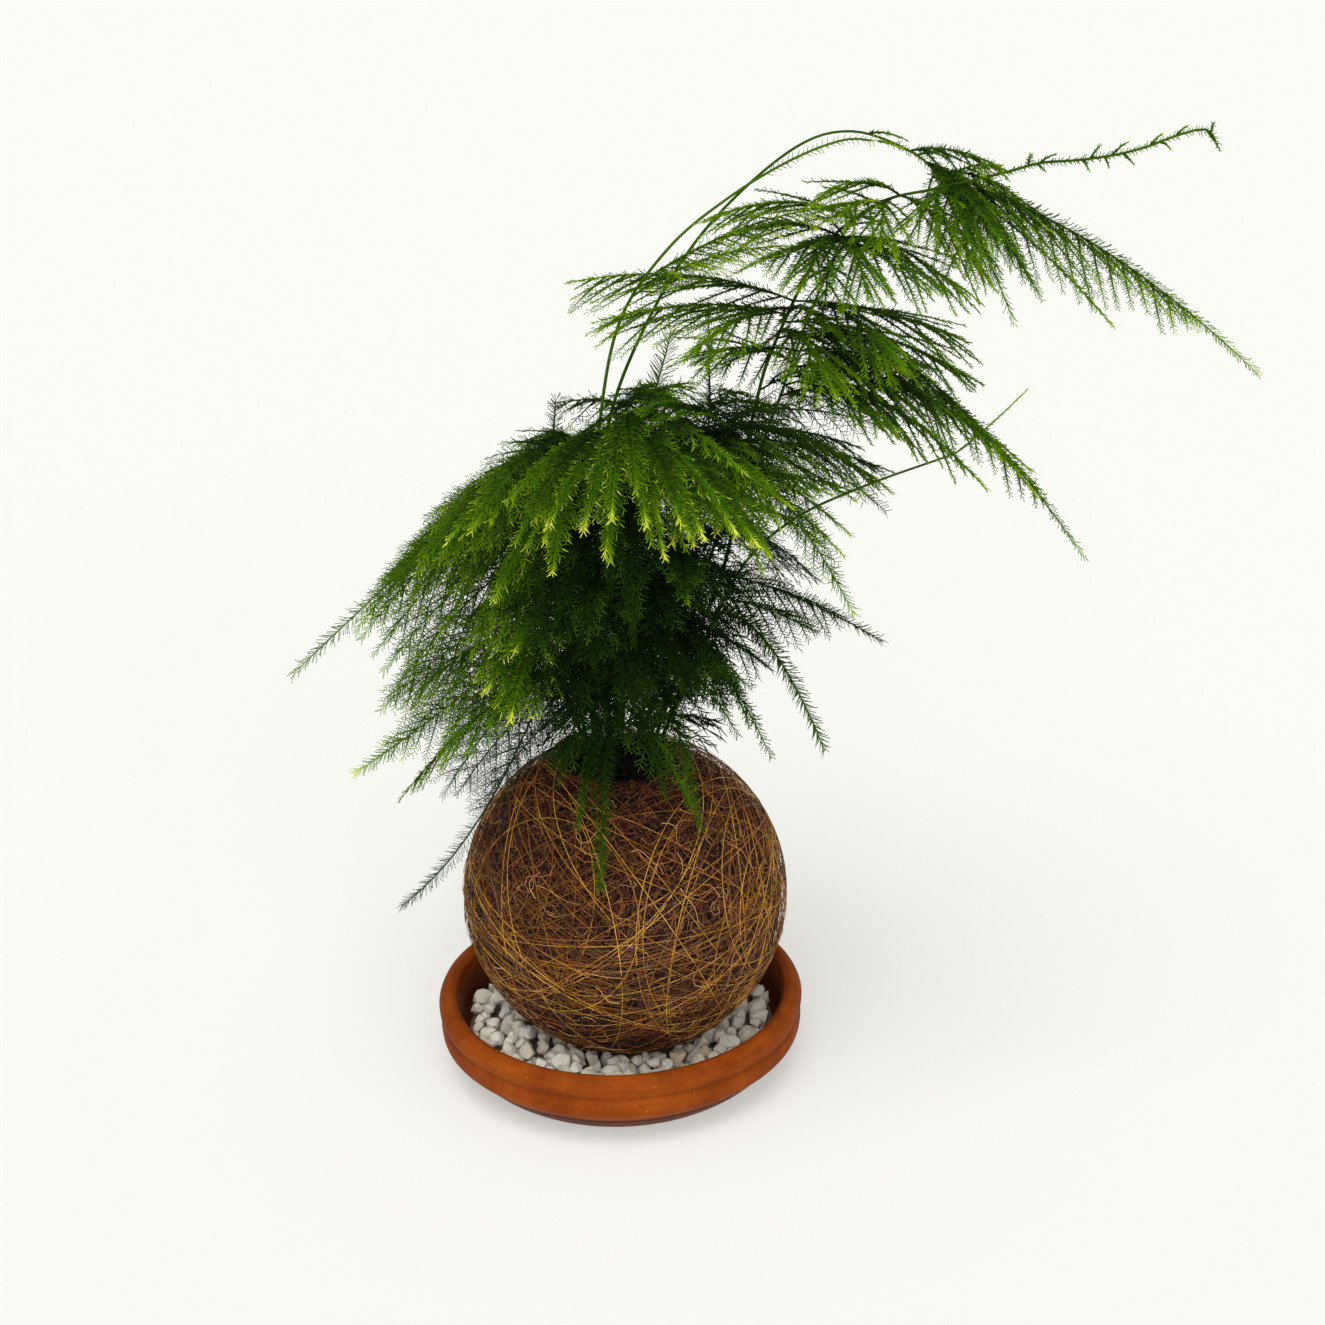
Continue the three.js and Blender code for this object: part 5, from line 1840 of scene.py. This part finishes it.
@dataclass(frozen=True)
class ChipBed:
    """White marble chips, 6 to 10 mm, in two layers over a bed."""

    seed: int = 8
    inner: float = 30.0  # radii between which the chips lie
    outer: float = 74.0
    layers: tuple[tuple[float, int], ...] = ((14.4, 170), (18.2, 230))  # height and most chips
    size: tuple[float, float] = (8, 13)  # of the ball that a chip is cut from
    tries: int = 60  # for each chip
    stagger: tuple[float, float] = (-0.8, 0.9)  # of the chips' heights in a layer
    sunk: float = 2.2  # most that the coir ball pushes one down
    ball: float = 75.3  # radius that they keep out of
    off_wall: float = 0.45  # least distance from the outer radius, as a share of a chip's size
    off_ball: float = 0.42
    off_chip: float = 0.355  # least distance of two chips, as a share of their sizes' sum
    cuts: int = 11
    cut_at: tuple[float, float] = (0.2, 0.36)  # from the centre, for a chip 1 across
    stretch: tuple[float, float] = (0.72, 1.08)
    crease: float = 26  # degrees over which an edge is sharp
    cream: float = 0.07  # share of chips that are cream
    cream_tone: tuple[float, float] = (0.9, 1)
    white_tone: tuple[float, float] = (0, 0.85)
    floor: float = 10.3
    bed: float = 12.4
    bed_radii: tuple[float, float] = (71.2, 72.0)  # at the floor and at the top
    bed_segments: int = 64
    lit: float = 15.5  # height over which the chips have no painted shade
    murk: float = 7.0  # depth below it at which their painted shade is full

    def scattered(self, rng: np.random.Generator, height: float, most: int) -> Array:
        """Scatters the chips of a layer, none much into another or into the ball.

        Args:
            rng: the random draws.
            height: of the layer.
            most: chips in it.

        Returns:
            The x, y, z and size of each chip.
        """
        placed = np.empty((0, 4))
        for _ in range(most * self.tries):
            if len(placed) >= most:
                break
            size = rng.uniform(*self.size)
            angle = rng.uniform(0, FULL_TURN)
            radius = np.sqrt(rng.uniform(self.inner**2, (self.outer - self.off_wall * size) ** 2))
            x, y = radius * np.cos(angle), radius * np.sin(angle)
            off = np.hypot(x - BALL_CENTRE[0], y - BALL_CENTRE[1])
            reach = self.ball + self.off_ball * size
            roof = BALL_CENTRE[2] - np.sqrt(max(reach**2 - off**2, 0))
            z = min(height + rng.uniform(*self.stagger), roof)
            if z < height - self.sunk:
                continue
            near = np.linalg.norm(placed[:, :3] - [x, y, z], axis=1)
            if len(placed) and (near < self.off_chip * (placed[:, 3] + size)).any():
                continue
            placed = np.vstack([placed, [x, y, z, size]])
        return placed

    def lumps(self, rng: np.random.Generator, count: int) -> tuple[Array, Array]:
        """Makes chips about the origin, 1 across: balls pulled in to a few random flat cuts.

        A point p outside a cut with normal n at distance d moves back by (p · n - d) · n.

        Args:
            rng: the random draws.
            count: how many chips.

        Returns:
            The points as chips by points by 3, and the triangles of one chip.
        """
        ball = bmesh.new()
        bmesh.ops.create_icosphere(ball, subdivisions=2, radius=0.5)
        unit_points = np.array([vertex.co for vertex in ball.verts])
        faces = np.array([[vertex.index for vertex in face.verts] for face in ball.faces])
        ball.free()
        points = unit_points[None] * rng.uniform(*self.stretch, (count, 1, 3))
        for _ in range(self.cuts):
            normal = unit(rng.normal(size=(count, 1, 3)))
            over = (points * normal).sum(axis=2, keepdims=True)
            over = over - rng.uniform(*self.cut_at, (count, 1, 1))
            points = points - np.maximum(over, 0) * normal
        return points, faces

    def build(self, material: bpy.types.Material) -> bpy.types.Object:
        """Makes the chips on their bed.

        Each chip is turned by an angle a about an axis: p · cos a + (axis × p) · sin a
        + axis · (axis · p) · (1 - cos a).

        Args:
            material: their finish.

        Returns:
            The piece.
        """
        rng = np.random.default_rng(self.seed)
        skin = Skin()
        places = np.concatenate([self.scattered(rng, *layer) for layer in self.layers])
        count = len(places)
        shapes, faces = self.lumps(rng, count)
        axis = unit(rng.normal(size=(count, 1, 3)))
        angle = rng.uniform(0, np.pi, (count, 1, 1))
        turned = (
            shapes * np.cos(angle)
            + np.cross(axis, shapes) * np.sin(angle)
            + axis * (axis * shapes).sum(axis=2, keepdims=True) * (1 - np.cos(angle))
        )
        points = turned * places[:, None, 3:] + places[:, None, :3]
        points[..., 2] = np.maximum(points[..., 2], self.floor)
        corners = shapes.shape[1]
        cream = rng.random(count) < self.cream
        cream_tone = rng.uniform(*self.cream_tone, count)
        tone = np.where(cream, cream_tone, rng.uniform(*self.white_tone, count))
        starts = np.arange(count) * corners
        all_faces = (faces[None] + starts[:, None, None]).reshape(-1, 3)
        # painted shade, fuller the lower a point of a chip lies
        depth = np.clip((self.lit - points[..., 2]) / self.murk, 0, 1).ravel()
        skin.add(points.reshape(-1, 3), all_faces, np.repeat(tone, corners), depth)
        # the bed under the chips carries full painted shade, to show dark between them
        low, high = self.bed_radii
        plate = np.array([[0, self.floor], [low, self.floor], [high, self.bed], [0, self.bed]])
        skin.add(*revolve(plate, self.bed_segments), 0.0, 1.0)
        piece = skin.piece("marble_chip_layer", material, True)
        piece.data.set_sharp_from_angle(angle=np.radians(self.crease))
        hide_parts("marble_chips")
        return piece


# Saucer


@dataclass(frozen=True)
class Saucer:
    """The thrown terracotta saucer, turned from its outline."""

    segments: int = 112
    foot: float = 67.6
    foot_ring: float = 5.0  # width of the ring that it stands on
    recess: float = 1.2  # height of the underside within the ring
    floor: float = 10.0
    rounding: float = 1.1
    rounding_steps: int = 4
    ripple: Ripple = Ripple(12, 60)
    uneven: float = 0.22
    even: float = 1.0  # height up to which it is true, so that it stands flat
    tone: float = 0.5

    def outline(self) -> Array:
        """Draws the outline, from the foot round the lip to the floor of the inside.

        Returns:
            Radius and height of its corners.
        """
        return np.array(
            [
                [0, self.recess],
                [self.foot - self.foot_ring - 1, self.recess],
                [self.foot - self.foot_ring, 0],
                [self.foot, 0],
                [72.2, 3.6],  # the wall
                [80.6, 12.6],
                [82.6, 14.2],
                [84.6, 16.8],
                [85.0, 20.6],
                [84.5, 23.6],
                [83.8, 24.6],  # the groove under the lip
                [83.9, 25.4],
                [85.2, 26.8],  # the rolled lip
                [85.5, 30.6],
                [84.0, 34.0],
                [80.4, 35.8],
                [77.0, 34.2],
                [75.9, 26.0],  # the inside
                [74.6, 16.0],
                [71.4, self.floor],
                [0, self.floor],
            ]
        )

    def build(self, material: bpy.types.Material) -> bpy.types.Object:
        """Makes the saucer, a little uneven as hand-thrown clay is.

        Args:
            material: its finish.

        Returns:
            The piece.
        """
        outline = rounded(self.outline(), self.rounding, self.rounding_steps)
        points, faces = revolve(outline, self.segments)
        around = unit(points * [1, 1, 0])
        uneven = self.ripple.at(points) * self.uneven * (points[:, 2] > self.even)
        skin = Skin()
        skin.add(points + around * uneven[:, None], faces, self.tone)
        piece = skin.piece("saucer_turned", material, True)
        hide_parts("saucer")
        return piece


# Studio


@dataclass(frozen=True)
class Camera:
    """The camera at the photograph's angle."""

    place: tuple[float, float, float] = (24.0, -1124.6, 705.7)
    pitch: float = 24.2  # down from level, in degrees
    roll: float = -1.52
    focal: float = 2760.0  # in pixels of the picture
    picture: float = 1325.0  # its width in pixels
    sensor: float = 36.0

    def build(self) -> None:
        """Makes it the scene's camera."""
        data = bpy.data.cameras.new("camera")
        data.sensor_width = self.sensor
        data.lens = self.sensor * self.focal / self.picture
        camera = bpy.data.objects.new("camera", data)
        bpy.context.scene.collection.objects.link(camera)
        pitch, roll = np.radians([self.pitch, self.roll])
        forward = np.array([0, np.cos(pitch), -np.sin(pitch)])
        level = np.array([1.0, 0, 0])
        above = np.cross(level, forward)
        right = np.cos(roll) * level + np.sin(roll) * above
        up = np.cos(roll) * above - np.sin(roll) * level
        camera.matrix_world = Matrix.Translation(Vector(self.place) * MM) @ Matrix(
            np.stack([right, up, -forward], axis=1).tolist()
        ).to_4x4()
        bpy.context.scene.camera = camera


@dataclass(frozen=True)
class Studio:
    """A pale floor and soft light."""

    floor_size: float = 14.0  # metres
    floor_colour: Colour = shade(188, 188, 184)
    glow_colour: Colour = shade(250, 250, 247)
    glow: float = 0.42  # light that the floor gives off, which keeps its shadows pale
    sky_colour: Colour = shade(255, 254, 251)
    sky: float = 0.46
    suns: tuple[tuple[float, float, tuple[float, float, float]], ...] = (
        (1.75, 45.0, (-0.12, -0.35, 1.0)),
        (1.3, 60.0, (0.15, -1.0, 0.4)),
    )  # each one's strength, width in degrees, and where it stands

    def floor(self) -> None:
        """Lays a plain pale floor."""
        book = FinishBook("floor")
        book.feed(book.surface.inputs["Emission Color"], self.glow_colour)
        constants = {"Specular_IOR_Level": 0.1, "Emission_Strength": self.glow}
        material = book.finish(self.floor_colour, 0.9, **constants)
        half = self.floor_size / 2
        corners = [(-half, -half, 0), (half, -half, 0), (half, half, 0), (-half, half, 0)]
        mesh = bpy.data.meshes.new("floor")
        mesh.from_pydata(corners, [], [(0, 1, 2, 3)])
        mesh.materials.append(material)
        floor = bpy.data.objects.new("floor", mesh)
        bpy.context.scene.collection.objects.link(floor)

    def build(self) -> None:
        """Sets up the floor, the sky and two wide soft suns, from above and from the front."""
        self.floor()
        world = bpy.data.worlds.new("studio")
        world.use_nodes = True
        sky = world.node_tree.nodes["Background"]
        sky.inputs["Color"].default_value = self.sky_colour
        sky.inputs["Strength"].default_value = self.sky
        bpy.context.scene.world = world
        for strength, width, place in self.suns:
            data = bpy.data.lights.new("sun", "SUN")
            data.energy = strength
            data.angle = np.radians(width)
            lamp = bpy.data.objects.new("sun", data)
            bpy.context.scene.collection.objects.link(lamp)
            lamp.rotation_euler = (-Vector(place)).to_track_quat("-Z", "Y").to_euler()
        bpy.context.scene.view_settings.view_transform = "Standard"


def main() -> None:
    """Builds the pieces in order."""
    logging.basicConfig(level=logging.INFO)
    Camera().build()
    Saucer().build(Terracotta().material())
    ChipBed().build(Marble().material())
    coir = Coir()
    ball = Ball()
    ball.mat(coir.mat())
    ball.fibre_coat(coir.fibres())
    ball.winding(Thread().material())
    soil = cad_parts["soil_ball"]
    soil.material_slots[0].material = Soil().material()
    fern = Fern().material()
    foliage = Foliage()
    for seed, stem in enumerate(STEMS):
        foliage.grow(stem, seed, fern)
    Studio().build()


if __name__ == "__main__":
    main()
